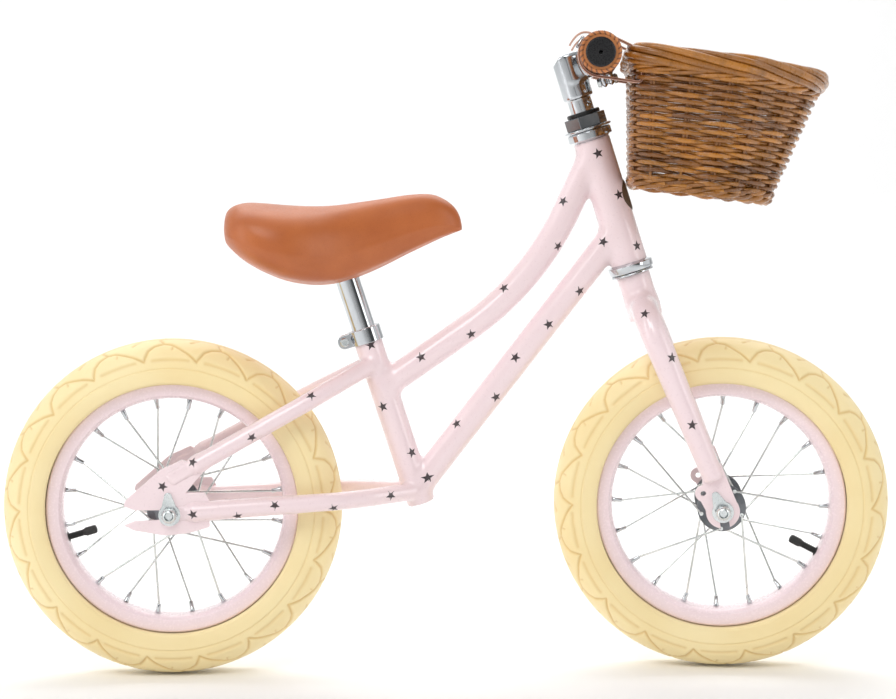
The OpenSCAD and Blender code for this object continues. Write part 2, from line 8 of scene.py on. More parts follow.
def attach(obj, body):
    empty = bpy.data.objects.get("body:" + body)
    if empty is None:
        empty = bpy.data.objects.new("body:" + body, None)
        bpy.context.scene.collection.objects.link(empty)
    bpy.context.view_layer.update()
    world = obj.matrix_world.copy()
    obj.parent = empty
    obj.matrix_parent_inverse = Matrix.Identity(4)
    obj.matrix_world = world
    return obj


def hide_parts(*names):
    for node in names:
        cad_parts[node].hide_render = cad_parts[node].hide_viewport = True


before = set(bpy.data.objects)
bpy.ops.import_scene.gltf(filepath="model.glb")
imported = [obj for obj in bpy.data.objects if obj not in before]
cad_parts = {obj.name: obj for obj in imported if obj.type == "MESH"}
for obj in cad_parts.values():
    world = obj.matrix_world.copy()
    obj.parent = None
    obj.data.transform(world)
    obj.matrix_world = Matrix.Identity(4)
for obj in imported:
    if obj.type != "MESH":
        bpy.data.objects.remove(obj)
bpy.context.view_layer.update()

# ---- Studio -------------------------------------------------------------
# A pale floor that curves up behind, under a white sky with dark bands for
# the chrome to mirror, lit by four softboxes and a light on the backdrop.
# The camera stands on the rider's right, a little behind and above the middle.

scene = bpy.context.scene
scene.view_settings.view_transform = "Standard"


def aimed(obj, place, target):
    obj.location = place
    turn = (Vector(target) - Vector(place)).to_track_quat("-Z", "Y")
    obj.rotation_euler = turn.to_euler()
    scene.collection.objects.link(obj)
    return obj


camera_data = bpy.data.cameras.new("side_camera")
camera_data.lens = 82.6
camera_data.clip_start = 0.05
scene.camera = aimed(bpy.data.objects.new("side_camera", camera_data),
                     (-0.1046, -1.9, 0.455), (-0.0005, 0.0, 0.3005))


def softbox(name, place, target, size, watts):
    light = bpy.data.lights.new(name, "AREA")
    light.shape = "RECTANGLE"
    light.size, light.size_y = size
    light.energy = watts
    return aimed(bpy.data.objects.new(name, light), place, target)


softbox("key_softbox", (-0.7, -1.6, 1.9), (0.0, 0.0, 0.3), (1.3, 1.0), 20)
softbox("side_softbox", (1.6, -1.1, 1.0), (0.0, 0.0, 0.35), (0.5, 1.4), 6)
softbox("strip_softbox", (-1.8, -0.7, 0.8), (0.0, 0.0, 0.3), (0.3, 1.4), 5)
softbox("back_softbox", (0.2, 1.2, 1.9), (0.0, 0.1, 0.3), (2.0, 1.0), 12)
softbox("backdrop_light", (0.0, 1.0, 2.6), (0.0, 3.2, 0.8), (4.0, 0.8), 60)

world = bpy.data.worlds.new("white_studio")
world.use_nodes = True
world_tree = world.node_tree
world_side = world_tree.nodes.new("ShaderNodeSeparateXYZ")
world_tree.links.new(world_tree.nodes.new("ShaderNodeTexCoord").outputs["Generated"], world_side.inputs[0])
world_depth = world_tree.nodes.new("ShaderNodeMapRange")
world_depth.interpolation_type = "SMOOTHSTEP"
world_depth.inputs["From Min"].default_value = -0.35
world_depth.inputs["From Max"].default_value = 0.30
world_tree.links.new(world_side.outputs["Y"], world_depth.inputs["Value"])
world_span = world_tree.nodes.new("ShaderNodeMapRange")
world_span.inputs["From Min"].default_value = -1.0
world_tree.links.new(world_side.outputs["X"], world_span.inputs["Value"])
room = world_tree.nodes.new("ShaderNodeValToRGB")
for place, grey in ((0.0, 0.75), (0.16, 0.70), (0.24, 0.12), (0.34, 0.10), (0.42, 0.62), (0.56, 0.55),
                    (0.66, 0.30), (0.76, 0.08), (0.86, 0.10), (0.93, 0.85)):
    stop = room.color_ramp.elements.new(place) if place > 0 else room.color_ramp.elements[0]
    stop.color = (grey, grey, grey, 1.0)
room.color_ramp.elements[-1].color = (0.9, 0.9, 0.9, 1.0)
world_tree.links.new(world_span.outputs["Result"], room.inputs["Fac"])
world_mix = world_tree.nodes.new("ShaderNodeMix")
world_mix.data_type = "FLOAT"
world_tree.links.new(world_depth.outputs["Result"], world_mix.inputs["Factor"])
world_tree.links.new(room.outputs["Color"], world_mix.inputs[2])
world_mix.inputs[3].default_value = 0.95
world_tree.links.new(world_mix.outputs[0], world_tree.nodes["Background"].inputs["Strength"])
world_tree.nodes["Background"].inputs["Color"].default_value = (1.0, 1.0, 1.0, 1.0)
scene.world = world


def plain(name, colour, rough, metal=0.0, **levels):
    """A Principled material with its constants set on the shader's own sockets."""
    mat = bpy.data.materials.new(name)
    mat.use_nodes = True
    shader = mat.node_tree.nodes["Principled BSDF"]
    shader.inputs["Base Color"].default_value = (*colour, 1.0)
    shader.inputs["Roughness"].default_value = rough
    shader.inputs["Metallic"].default_value = metal
    for socket, value in levels.items():
        shader.inputs[socket.replace("_", " ")].default_value = value
    return mat


floor_mesh = bpy.data.meshes.new("studio_floor")
floor_line = [(-6.0, -0.0006)] + [(2.2 + 1.6 * math.sin(t), 1.5994 - 1.6 * math.cos(t))
                                  for t in np.linspace(0, math.pi / 2, 24)] + [(3.8, 6.0)]
floor_mesh.from_pydata([(x, y, z) for y, z in floor_line for x in (-8.0, 8.0)], [],
                       [(2 * i, 2 * i + 1, 2 * i + 3, 2 * i + 2) for i in range(len(floor_line) - 1)])
floor_mesh.shade_smooth()
floor = bpy.data.objects.new("studio_floor", floor_mesh)
scene.collection.objects.link(floor)
floor.data.materials.append(plain("floor_paper", (0.96, 0.96, 0.96), 0.9))

# ---- Welded and painted frame -------------------------------------------
# Steel tubes mitred and welded with smooth fillets, then sprayed in one coat
# of glossy pale pink. The bent top tube runs into the head tube; two pairs of
# stays spread round the rear wheel.

MM = 0.001


def turned_by(degrees, axis):
    return Matrix.Rotation(math.radians(degrees), 4, axis)


def moved(x, y, z):
    return Matrix.Translation((x * MM, y * MM, z * MM))


HEAD_LEAN, REST_TURN, HEAD_LENGTH = 17.6, 7.5, 121.0
HEAD_R, SEAT_TUBE_R, TUBE_R, STAY_R = 17.0, 13.0, 12.7, 8.0
SEAT_LEAN, SEAT_TUBE_LENGTH = 18.1, 172.0
IN_PLACE = Matrix.Identity(4)
HEAD = moved(168.7, 0, 379.7) @ turned_by(-HEAD_LEAN, "Y")
STEER = HEAD @ turned_by(-REST_TURN, "Z")
SEAT = moved(-25.4, 0, 157.4) @ turned_by(-SEAT_LEAN, "Y")


def placed(points, at):
    """Millimetre points in a local frame, as metres in the bike's frame."""
    turn = np.array(at.to_3x3())
    return np.asarray(points, float) * MM @ turn.T + np.array(at.translation)


def solid_piece(name, points, faces, mat, at=IN_PLACE, smooth_angle=40.0, bevel=0.0):
    """A mesh with outward normals; bevel is the rounding of its sharp edges in mm."""
    mesh = bpy.data.meshes.new(name)
    mesh.from_pydata([tuple(p) for p in placed(points, at)], [], faces)
    work = bmesh.new()
    work.from_mesh(mesh)
    bmesh.ops.remove_doubles(work, verts=work.verts, dist=1e-7)
    bmesh.ops.recalc_face_normals(work, faces=work.faces)
    work.to_mesh(mesh)
    work.free()
    mesh.shade_smooth()
    mesh.set_sharp_from_angle(angle=math.radians(smooth_angle))
    obj = bpy.data.objects.new(name, mesh)
    scene.collection.objects.link(obj)
    obj.data.materials.append(mat)
    if bevel:
        edge = obj.modifiers.new("edge", "BEVEL")
        edge.width = bevel * MM
        edge.segments = 2
        edge.limit_method = "ANGLE"
        edge.angle_limit = math.radians(32)
        edge.harden_normals = True
    return obj


def joined(name, pieces):
    """Several pieces as one mesh object, with their modifiers applied."""
    meshes = []
    for piece in pieces:
        bpy.context.view_layer.update()
        meshes.append(bpy.data.meshes.new_from_object(
            piece.evaluated_get(bpy.context.evaluated_depsgraph_get())))
    work = bmesh.new()
    mats = []
    for mesh in meshes:
        start = len(work.faces)
        work.from_mesh(mesh)
        work.faces.ensure_lookup_table()
        for face in work.faces[start:]:
            mat = mesh.materials[face.material_index]
            if mat not in mats:
                mats.append(mat)
            face.material_index = mats.index(mat)
    whole = bpy.data.meshes.new(name)
    work.to_mesh(whole)
    work.free()
    for mat in mats:
        whole.materials.append(mat)
    for piece in pieces:
        bpy.data.objects.remove(piece)
    obj = bpy.data.objects.new(name, whole)
    scene.collection.objects.link(obj)
    return obj


def fitted(obj, body, slot, *nodes):
    """Hands a finished piece to its body and hides the nodes it stands for; the slot is not used."""
    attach(obj, body)
    if nodes:
        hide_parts(*nodes)
    return obj


def swept(path, radii, sides=20, closed=False):
    """Ring points and faces of a round rod along a path; radii is one value or one per point."""
    path = np.asarray(path, float)
    radii = np.broadcast_to(np.asarray(radii, float), (len(path),))
    if closed:
        along = np.roll(path, -1, 0) - np.roll(path, 1, 0)
    else:
        along = np.gradient(path, axis=0)
    along /= np.linalg.norm(along, axis=1)[:, None]
    side = np.cross(along[0], [0.0, 0.0, 1.0])
    if np.linalg.norm(side) < 0.1:
        side = np.cross(along[0], [1.0, 0.0, 0.0])
    turn = np.linspace(0, 2 * math.pi, sides, endpoint=False)
    points = []
    for here, heading, radius in zip(path, along, radii):
        side = side - heading * (side @ heading)
        side /= np.linalg.norm(side)
        up = np.cross(heading, side)
        points.append(here + radius * (np.cos(turn)[:, None] * side + np.sin(turn)[:, None] * up))
    faces = []
    rings = len(path)
    for i in range(rings if closed else rings - 1):
        j = (i + 1) % rings
        for k in range(sides):
            n = (k + 1) % sides
            faces.append((i * sides + k, i * sides + n, j * sides + n, j * sides + k))
    if not closed:
        faces.append(tuple(range(sides - 1, -1, -1)))
        faces.append(tuple((rings - 1) * sides + k for k in range(sides)))
    return np.concatenate(points), faces


def rod_distance(p, a, b, r1, r2, edge=1.0):
    """Distance from points p to a straight, flat-ended, slightly tapered tube."""
    a, b = np.array(a, float), np.array(b, float)
    run = np.linalg.norm(b - a)
    d = (b - a) / run
    h = (p - a) @ d
    radial = np.linalg.norm(p - a - h[:, None] * d, axis=1)
    radius = r1 + (r2 - r1) * np.clip(h / run, 0, 1)
    out = np.stack([radial - radius + edge, np.abs(h - run / 2) - run / 2 + edge], 1)
    return np.minimum(out.max(1), 0) + np.linalg.norm(np.maximum(out, 0), axis=1) - edge


def arc_distance(p, centre, start, normal, angle, bend, r):
    """Distance to a round tube bent round centre, from the direction start, about normal."""
    centre, start, normal = (np.array(v, float) for v in (centre, start, normal))
    across = np.cross(normal, start)
    q = p - centre
    a = np.clip(np.arctan2(q @ across, q @ start), 0, math.radians(angle))
    near = bend * (np.cos(a)[:, None] * start + np.sin(a)[:, None] * across)
    return np.linalg.norm(q - near, axis=1) - r


def soft_union(a, b, k):
    h = np.clip(0.5 + 0.5 * (b - a) / k, 0, 1)
    return b * (1 - h) + a * h - k * h * (1 - h)


def welded(name, rods, distance, mat, voxel, at=IN_PLACE):
    """Rods fused to one skin, then drawn onto the smooth shape that distance describes."""
    points, faces = [], []
    for path, radius in rods:
        p, f = swept(path, radius, 24)
        base = sum(len(q) for q in points)
        points.append(p)
        faces += [tuple(base + i for i in face) for face in f]
    start = bpy.data.meshes.new(name + "_rough")
    start.from_pydata([tuple(v) for v in np.concatenate(points)], [], faces)
    rough = bpy.data.objects.new(name + "_rough", start)
    scene.collection.objects.link(rough)
    remesh = rough.modifiers.new("skin", "REMESH")
    remesh.mode = "VOXEL"
    remesh.voxel_size = voxel
    bpy.context.view_layer.update()
    mesh = bpy.data.meshes.new_from_object(rough.evaluated_get(bpy.context.evaluated_depsgraph_get()))
    bpy.data.objects.remove(rough)
    mesh.name = name
    v = np.empty(len(mesh.vertices) * 3, np.float32)
    mesh.vertices.foreach_get("co", v)
    v = v.reshape(-1, 3).astype(float)
    edges = np.empty(len(mesh.edges) * 2, np.int32)
    mesh.edges.foreach_get("vertices", edges)
    edges = edges.reshape(-1, 2)
    count = np.bincount(edges.ravel(), minlength=len(v))[:, None]
    step = 0.05
    for turn in range(7):
        if turn in (2, 4):
            total = np.zeros_like(v)
            np.add.at(total, edges[:, 0], v[edges[:, 1]])
            np.add.at(total, edges[:, 1], v[edges[:, 0]])
            v = 0.4 * v + 0.6 * total / count
        slope = np.stack([distance(v + step * axis) - distance(v - step * axis)
                          for axis in np.eye(3)], 1) / (2 * step)
        length = np.linalg.norm(slope, axis=1)[:, None]
        v -= np.clip(distance(v), -3, 3)[:, None] * slope / np.maximum(length, 0.3) ** 2
    mesh.vertices.foreach_set("co", placed(v, at).astype(np.float32).ravel())
    mesh.update()
    mesh.shade_smooth()
    obj = bpy.data.objects.new(name, mesh)
    scene.collection.objects.link(obj)
    obj.data.materials.clear()
    obj.data.materials.append(mat)
    return obj


def new_group(name, inputs, outputs):
    """An empty shader node group with float or colour inputs and its outputs."""
    group = bpy.data.node_groups.new(name, "ShaderNodeTree")
    for label, kind, value in inputs:
        socket = group.interface.new_socket(label, in_out="INPUT", socket_type=kind)
        socket.default_value = value
    for label, kind in outputs:
        group.interface.new_socket(label, in_out="OUTPUT", socket_type=kind)
    return group, group.nodes.new("NodeGroupInput"), group.nodes.new("NodeGroupOutput")


def noise(tree, scale, detail=3.0, rough=0.5, vector=None):
    node = tree.nodes.new("ShaderNodeTexNoise")
    node.inputs["Detail"].default_value = detail
    node.inputs["Roughness"].default_value = rough
    if isinstance(scale, (int, float)):
        node.inputs["Scale"].default_value = scale
    else:
        tree.links.new(scale, node.inputs["Scale"])
    if vector is None:
        vector = tree.nodes.new("ShaderNodeTexCoord").outputs["Object"]
    tree.links.new(vector, node.inputs["Vector"])
    return node.outputs["Fac"]


def spread(tree, value, low, high, to_low=0.0, to_high=1.0):
    node = tree.nodes.new("ShaderNodeMapRange")
    for socket, number in zip(("From Min", "From Max", "To Min", "To Max"), (low, high, to_low, to_high)):
        node.inputs[socket].default_value = number
    tree.links.new(value, node.inputs["Value"])
    return node.outputs["Result"]


def blended(tree, mask, low, high):
    """A colour mix; low and high are colours or sockets."""
    node = tree.nodes.new("ShaderNodeMix")
    node.data_type = "RGBA"
    tree.links.new(mask, node.inputs["Factor"])
    for socket, colour in ((node.inputs[6], low), (node.inputs[7], high)):
        if isinstance(colour, tuple):
            socket.default_value = (*colour, 1.0)
        else:
            tree.links.new(colour, socket)
    return node.outputs[2]


def bumped(mat, height, strength, depth):
    """A Bump node under a material's normal; depth is in mm."""
    tree = mat.node_tree
    node = tree.nodes.new("ShaderNodeBump")
    node.inputs["Strength"].default_value = strength
    node.inputs["Distance"].default_value = depth * MM
    tree.links.new(height, node.inputs["Height"])
    tree.links.new(node.outputs["Normal"], tree.nodes["Principled BSDF"].inputs["Normal"])
    return node


# Cloudy variation that every finish shares: a coarse tone and a fine roughness mask
cloud_group, cloud_in, cloud_out = new_group(
    "surface_clouds",
    [("Coarse", "NodeSocketFloat", 12.0), ("Fine", "NodeSocketFloat", 180.0),
     ("Dark", "NodeSocketColor", (0.5, 0.5, 0.5, 1)), ("Light", "NodeSocketColor", (0.8, 0.8, 0.8, 1)),
     ("Rough from", "NodeSocketFloat", 0.2), ("Rough to", "NodeSocketFloat", 0.3)],
    [("Color", "NodeSocketColor"), ("Roughness", "NodeSocketFloat"), ("Grain", "NodeSocketFloat")])
cloud_coarse = noise(cloud_group, cloud_in.outputs["Coarse"], 3.0)
cloud_fine = noise(cloud_group, cloud_in.outputs["Fine"], 2.0, 0.6)
cloud_tone = spread(cloud_group, cloud_coarse, 0.3, 0.7)
cloud_group.links.new(blended(cloud_group, cloud_tone, cloud_in.outputs["Dark"], cloud_in.outputs["Light"]),
                      cloud_out.inputs["Color"])
cloud_gloss = cloud_group.nodes.new("ShaderNodeMapRange")
cloud_group.links.new(cloud_fine, cloud_gloss.inputs["Value"])
cloud_gloss.inputs["From Min"].default_value = 0.3
cloud_gloss.inputs["From Max"].default_value = 0.7
cloud_group.links.new(cloud_in.outputs["Rough from"], cloud_gloss.inputs["To Min"])
cloud_group.links.new(cloud_in.outputs["Rough to"], cloud_gloss.inputs["To Max"])
cloud_group.links.new(cloud_gloss.outputs["Result"], cloud_out.inputs["Roughness"])
cloud_group.links.new(cloud_fine, cloud_out.inputs["Grain"])


def clouded(mat, dark, light, rough, coarse=12.0, fine=180.0):
    """Puts the cloudy variation between two colours and two roughnesses on a material."""
    tree = mat.node_tree
    node = tree.nodes.new("ShaderNodeGroup")
    node.node_tree = cloud_group
    node.inputs["Coarse"].default_value = coarse
    node.inputs["Fine"].default_value = fine
    node.inputs["Dark"].default_value = (*dark, 1.0)
    node.inputs["Light"].default_value = (*light, 1.0)
    node.inputs["Rough from"].default_value = rough[0]
    node.inputs["Rough to"].default_value = rough[1]
    shader = tree.nodes["Principled BSDF"]
    tree.links.new(node.outputs["Color"], shader.inputs["Base Color"])
    tree.links.new(node.outputs["Roughness"], shader.inputs["Roughness"])
    return node


frame_paint = plain("frame_paint", (0.88, 0.72, 0.74), 0.28, Coat_Weight=0.7, Coat_Roughness=0.05)
paint_clouds = clouded(frame_paint, (0.87, 0.70, 0.725), (0.89, 0.73, 0.75), (0.26, 0.34), 9.0, 420.0)
bumped(frame_paint, paint_clouds.outputs["Grain"], 0.06, 0.12)

TOP_BEND = np.array([18.0, 0.0, 320.6])
TOP_LEAN, TOP_ARC, TOP_ARC_R = math.radians(34.6), 30.4, 270.0
DOWN_FOOT, DOWN_LEAN = np.array([-4.6, 0.0, 203.1]), math.radians(52.1)
top_back = np.array([math.cos(TOP_LEAN), 0, math.sin(TOP_LEAN)])
top_up = np.array([-math.sin(TOP_LEAN), 0, math.cos(TOP_LEAN)])
top_end_lean = TOP_LEAN + math.radians(TOP_ARC)
top_ahead = np.array([math.cos(top_end_lean), 0, math.sin(top_end_lean)])
arc_centre = TOP_BEND + TOP_ARC_R * top_up
arc_end = arc_centre + TOP_ARC_R * np.array([math.sin(top_end_lean), 0, -math.cos(top_end_lean)])
TOP_FOOT = TOP_BEND - 97 * top_back
down_way = np.array([math.cos(DOWN_LEAN), 0, math.sin(DOWN_LEAN)])
down_line = [DOWN_FOOT - 36 * down_way, DOWN_FOOT + 258 * down_way]
head_way = np.array([-math.sin(math.radians(HEAD_LEAN)), 0, math.cos(math.radians(HEAD_LEAN))])
head_foot = np.array([168.7, 0, 379.7])
head_top = head_foot + HEAD_LENGTH * head_way
seat_way = np.array([-math.sin(math.radians(SEAT_LEAN)), 0, math.cos(math.radians(SEAT_LEAN))])
seat_foot = np.array([-25.4, 0, 157.4])
seat_top = seat_foot + SEAT_TUBE_LENGTH * seat_way
CHAIN_STAY = [(-27, -6, 169.5), (-88, -40, 166.3), (-233, -50.1, 158.5)]
SEAT_STAY = [(-67, -6, 290), (-124, -36.5, 259.5), (-230, -49.8, 201.4)]


def corner(path, round_off=26.0, steps=8):
    """A three-point path with its corner rounded off."""
    a, b, c = (np.array(p, float) for p in path)
    u, v = (a - b) / np.linalg.norm(a - b), (c - b) / np.linalg.norm(c - b)
    t = np.linspace(0, 1, steps)[:, None]
    start, end = b + round_off * u, b + round_off * v
    curve = (1 - t) ** 2 * start + 2 * t * (1 - t) * b + t ** 2 * end
    return np.vstack([a, curve, c])


def stay_distance(p, path, foot_r):
    """Distance to a bent stay, as a chain of round-ended lengths."""
    nodes = corner(path)
    nearest = np.full(len(p), 1e9)
    lengths = np.linalg.norm(np.diff(nodes, axis=0), axis=1)
    reach = np.concatenate([[0], np.cumsum(lengths)]) / lengths.sum()
    for i in range(len(nodes) - 1):
        run = nodes[i + 1] - nodes[i]
        t = np.clip((p - nodes[i]) @ run / (run @ run), 0, 1)
        radius = STAY_R + (foot_r - STAY_R) * (reach[i] + t * (reach[i + 1] - reach[i])) ** 2
        nearest = np.minimum(nearest, np.linalg.norm(p - nodes[i] - t[:, None] * run, axis=1) - radius)
    return nearest


STAY_TONGUES = [((-233, -50, 158.5), (-243, -50, 158.0), 8.8), ((-228, -50, 202.5), (-251, -50, 189.8), 8.0)]


def tongue_distance(p, a, b, r):
    """Distance to a stay's flattened end, which laps over its plate."""
    flat = np.array([1.0, 2.1, 1.0])
    p, a, b = p * flat, np.array(a) * flat, np.array(b) * flat
    t = np.clip((p - a) @ (b - a) / ((b - a) @ (b - a)), 0, 1)
    return (np.linalg.norm(p - a - t[:, None] * (b - a), axis=1) - r) / 1.5


def mirrored(path):
    return [(x, -y, z) for x, y, z in path]


def frame_distance(p):
    head = rod_distance(p, head_foot, head_top, HEAD_R, HEAD_R)
    seat = rod_distance(p, seat_foot, seat_top, SEAT_TUBE_R, SEAT_TUBE_R)
    top = np.minimum(rod_distance(p, TOP_FOOT, TOP_BEND, TUBE_R, TUBE_R, 0.1),
                     rod_distance(p, arc_end, arc_end + 56 * top_ahead, TUBE_R, TUBE_R, 0.1))
    top = np.minimum(top, arc_distance(p, arc_centre, (math.sin(TOP_LEAN), 0, -math.cos(TOP_LEAN)),
                                       (0, -1, 0), TOP_ARC, TOP_ARC_R, TUBE_R))
    down = rod_distance(p, *down_line, TUBE_R, TUBE_R)
    whole = soft_union(soft_union(head, down, 7.0), soft_union(seat, top, 7.0), 6.0)
    for path, foot in ((CHAIN_STAY, 9.3), (SEAT_STAY, 8.2)):
        for side in (path, mirrored(path)):
            whole = soft_union(whole, stay_distance(p, side, foot), 4.5)
    for a, b, r in STAY_TONGUES:
        for ends in ((a, b), mirrored((a, b))):
            whole = soft_union(whole, tongue_distance(p, *ends, r), 3.0)
    return whole


arc_turns = np.radians(np.linspace(0, TOP_ARC, 14)) + TOP_LEAN
top_path = np.vstack([
    TOP_FOOT,
    arc_centre + TOP_ARC_R * np.stack([np.sin(arc_turns), 0 * arc_turns, -np.cos(arc_turns)], 1),
    arc_end + 56 * top_ahead])
frame_rods = [([head_foot, head_top], HEAD_R), ([seat_foot, seat_top], SEAT_TUBE_R), (top_path, TUBE_R),
              (down_line, TUBE_R)]
for stay in (CHAIN_STAY, SEAT_STAY):
    frame_rods += [(corner(stay), 8.3), (corner(mirrored(stay)), 8.3)]
for a, b, r in STAY_TONGUES:
    tip = tuple(np.array(b) + 4.0 * (np.array(b) - np.array(a)) / np.linalg.norm(np.array(b) - np.array(a)))
    frame_rods += [([a, tip], 5.0), (mirrored([a, tip]), 5.0)]
frame_skin = welded("painted_frame", frame_rods, frame_distance, frame_paint, 2.1)
fitted(frame_skin, "frame", "frame_paint", "head_tube", "top_tube", "down_tube", "seat_tube",
       "chain_stay_right", "chain_stay_left", "seat_stay_right", "seat_stay_left")


def plate(name, outline, holes, y0, thick, mat, at=IN_PLACE, edge=0.7):
    """A bevelled flat plate standing in the X-Z plane, cut from an outline with holes."""
    flat = bmesh.new()
    for loop in [outline] + holes:
        ring = [flat.verts.new((x, y0, z)) for x, z in loop]
        for a, b in zip(ring, ring[1:] + ring[:1]):
            flat.edges.new((a, b))
    bmesh.ops.triangle_fill(flat, edges=flat.edges, use_beauty=True, use_dissolve=False)
    bmesh.ops.dissolve_limit(flat, angle_limit=0.01, verts=flat.verts, edges=flat.edges)
    grown = bmesh.ops.extrude_face_region(flat, geom=list(flat.faces))
    for vert in grown["geom"]:
        if isinstance(vert, bmesh.types.BMVert):
            vert.co.y += thick
    points = [tuple(v.co) for v in flat.verts]
    flat.verts.index_update()
    faces = [tuple(v.index for v in face.verts) for face in flat.faces]
    flat.free()
    return solid_piece(name, points, faces, mat, at, 30.0, edge)


def round_hole(centre, r, n=28):
    return [(centre[0] + r * math.cos(a), centre[1] + r * math.sin(a))
            for a in np.linspace(0, 2 * math.pi, n, endpoint=False)]


def arc_points(centre, r, a0, a1, n=12):
    return [(centre[0] + r * math.cos(math.radians(a)), centre[1] + r * math.sin(math.radians(a)))
            for a in np.linspace(a0, a1, n)]


REAR_AXLE = moved(-255, 0, 156)
SLOT = arc_points((0, 0), 4.3, 77, -77, 9)
rear_outline = [(-8, 41), (-40, 13), (-41, 8), (-31, 4.2), *SLOT, (-31, -5.5), (-41, -9.5), (-32, -14),
                (-4, -19), (17, -17), (36, -11.5), (36, 13), (32, 20), (15, 20), (24, 31), (32, 40), (12, 50)]
REAR_PLATE_Y, PLATE_THICK = 52.0, 4.0
for side, y0 in (("right", -REAR_PLATE_Y), ("left", REAR_PLATE_Y - PLATE_THICK)):
    fitted(plate(f"rear_plate_{side}", rear_outline, [], y0, PLATE_THICK, frame_paint, REAR_AXLE),
           "frame", "frame_paint", f"rear_dropout_{side}")

# ---- Fork ---------------------------------------------------------------
# A round crown with two legs swept out of it, fusing into one painted fork,
# and a flat end plate welded into each leg, with an axle slot and a small
# threaded eyelet for a mudguard stay.

FORK_RAKE, PLATE_Y = 15.0, 47.0
front_lean = math.radians(HEAD_LEAN)
FRONT_H = -(379.7 - 156 + FORK_RAKE * math.cos(math.radians(REST_TURN)) * math.sin(front_lean)) \
    / math.cos(front_lean)
FRONT_AXLE = STEER @ moved(FORK_RAKE, 0, FRONT_H) @ turned_by(HEAD_LEAN, "Y")
LEG_LEAN = math.radians(5.2)
ELBOW = np.array([4.0, 0.0, -76.0])
leg_down = np.array([math.sin(LEG_LEAN), 0, -math.cos(LEG_LEAN)])
leg_ahead = np.array([math.cos(LEG_LEAN), 0, math.sin(LEG_LEAN)])
LEG_LENGTH = -76.0 - FRONT_H - 30.0


def fork_distance(p):
    p = p.copy()
    p[:, 1] = -np.abs(p[:, 1])
    crown = rod_distance(p, (0, 0, -49.5 - 3), (0, 0, -9.5), 15.5, 15.5, 1.5)
    top = ELBOW + np.array([0, -PLATE_Y, 0])
    bend = arc_distance(p, top + np.array([0, 35.0, 0]), (0, -1, 0), -leg_ahead, 90, 35.0, 12.5)
    leg = rod_distance(p, top, top + LEG_LENGTH * leg_down, 12.5, 10.0, 3.0)
    across = rod_distance(p, top + 35 * -leg_down + np.array([0, 35.0, 0]),
                          top + 35 * -leg_down + np.array([0, 60.0, 0]), 12.5, 12.5, 0.1)
    return soft_union(crown, np.minimum(np.minimum(bend, leg), across), 8.0)


fork_rods = [([(0, 0, -52.5), (0, 0, -9.5)], 15.5)]
for s in (-1, 1):
    top = ELBOW + np.array([0, s * PLATE_Y, 0])
    turns = np.radians(np.linspace(0, 90, 9))[:, None]
    bend = top + np.array([0, -s * 35.0, 0]) + 35 * (
        np.cos(turns) * np.array([0, s, 0]) + np.sin(turns) * -leg_down)
    fork_rods.append((np.vstack([top + LEG_LENGTH * leg_down, bend, bend[-1] - [0, s * 10, 0]]),
                      np.linspace(10, 12.5, 11)))
fork_skin = welded("painted_fork", fork_rods, fork_distance, frame_paint, 1.9, STEER)
fitted(fork_skin, "fork", "frame_paint", "fork_crown", "fork_leg_right", "fork_leg_left")

axle_at = (FORK_RAKE, FRONT_H)
eyelet_at = (FORK_RAKE - 12.2, FRONT_H + 21.4)
slot_turn = math.radians(-8)


def in_slot(x, z):
    return (axle_at[0] + x * math.cos(slot_turn) - z * math.sin(slot_turn),
            axle_at[1] + x * math.sin(slot_turn) + z * math.cos(slot_turn))


slot_ring = [in_slot(4.3 * math.cos(math.radians(a)), 4.3 * math.sin(math.radians(a)))
             for a in np.linspace(-13, 193, 13)]
fork_outline = [(axle_at[0] + 11, axle_at[1] + 44), (axle_at[0] - 7, axle_at[1] + 44),
                *arc_points(eyelet_at, 7.5, 80, 235), *arc_points(axle_at, 15.5, 160, 245),
                in_slot(-4.2, -14.9), *slot_ring[::-1], in_slot(4.2, -14.9),
                *arc_points(axle_at, 15.5, 279, 380)]
for side, y0 in (("right", -PLATE_Y - 2), ("left", PLATE_Y - 2)):
    fitted(plate(f"fork_plate_{side}", fork_outline, [round_hole(eyelet_at, 2.5, 18)], y0, 4,
                 frame_paint, STEER), "fork", "frame_paint", f"fork_dropout_{side}")

# ---- Headset and steerer ------------------------------------------------
# Pressed and chromed steel cups and races, a darker steel hex locknut and a
# black seal ring on top. The steerer and the balls stay out of sight.

chrome = plain("chrome_steel", (0.78, 0.79, 0.8), 0.09, 1.0)
chrome_clouds = clouded(chrome, (0.50, 0.52, 0.54), (0.64, 0.66, 0.68), (0.06, 0.12), 16.0, 260.0)
bumped(chrome, chrome_clouds.outputs["Grain"], 0.04, 0.1)
plain_steel = plain("plain_steel", (0.6, 0.6, 0.6), 0.3, 1.0)
clouded(plain_steel, (0.17, 0.18, 0.19), (0.28, 0.29, 0.30), (0.14, 0.24), 30.0, 300.0)
zinc_steel = plain("zinc_steel", (0.6, 0.62, 0.6), 0.3, 1.0)
zinc_clouds = clouded(zinc_steel, (0.58, 0.62, 0.63), (0.76, 0.79, 0.79), (0.18, 0.32), 60.0, 500.0)
bumped(zinc_steel, zinc_clouds.outputs["Grain"], 0.15, 0.1)
black_plastic = plain("black_plastic", (0.012, 0.012, 0.013), 0.3, Specular_IOR_Level=0.3)
plastic_clouds = clouded(black_plastic, (0.008, 0.008, 0.009), (0.017, 0.017, 0.018), (0.22, 0.36), 30.0, 700.0)
bumped(black_plastic, plastic_clouds.outputs["Grain"], 0.1, 0.1)


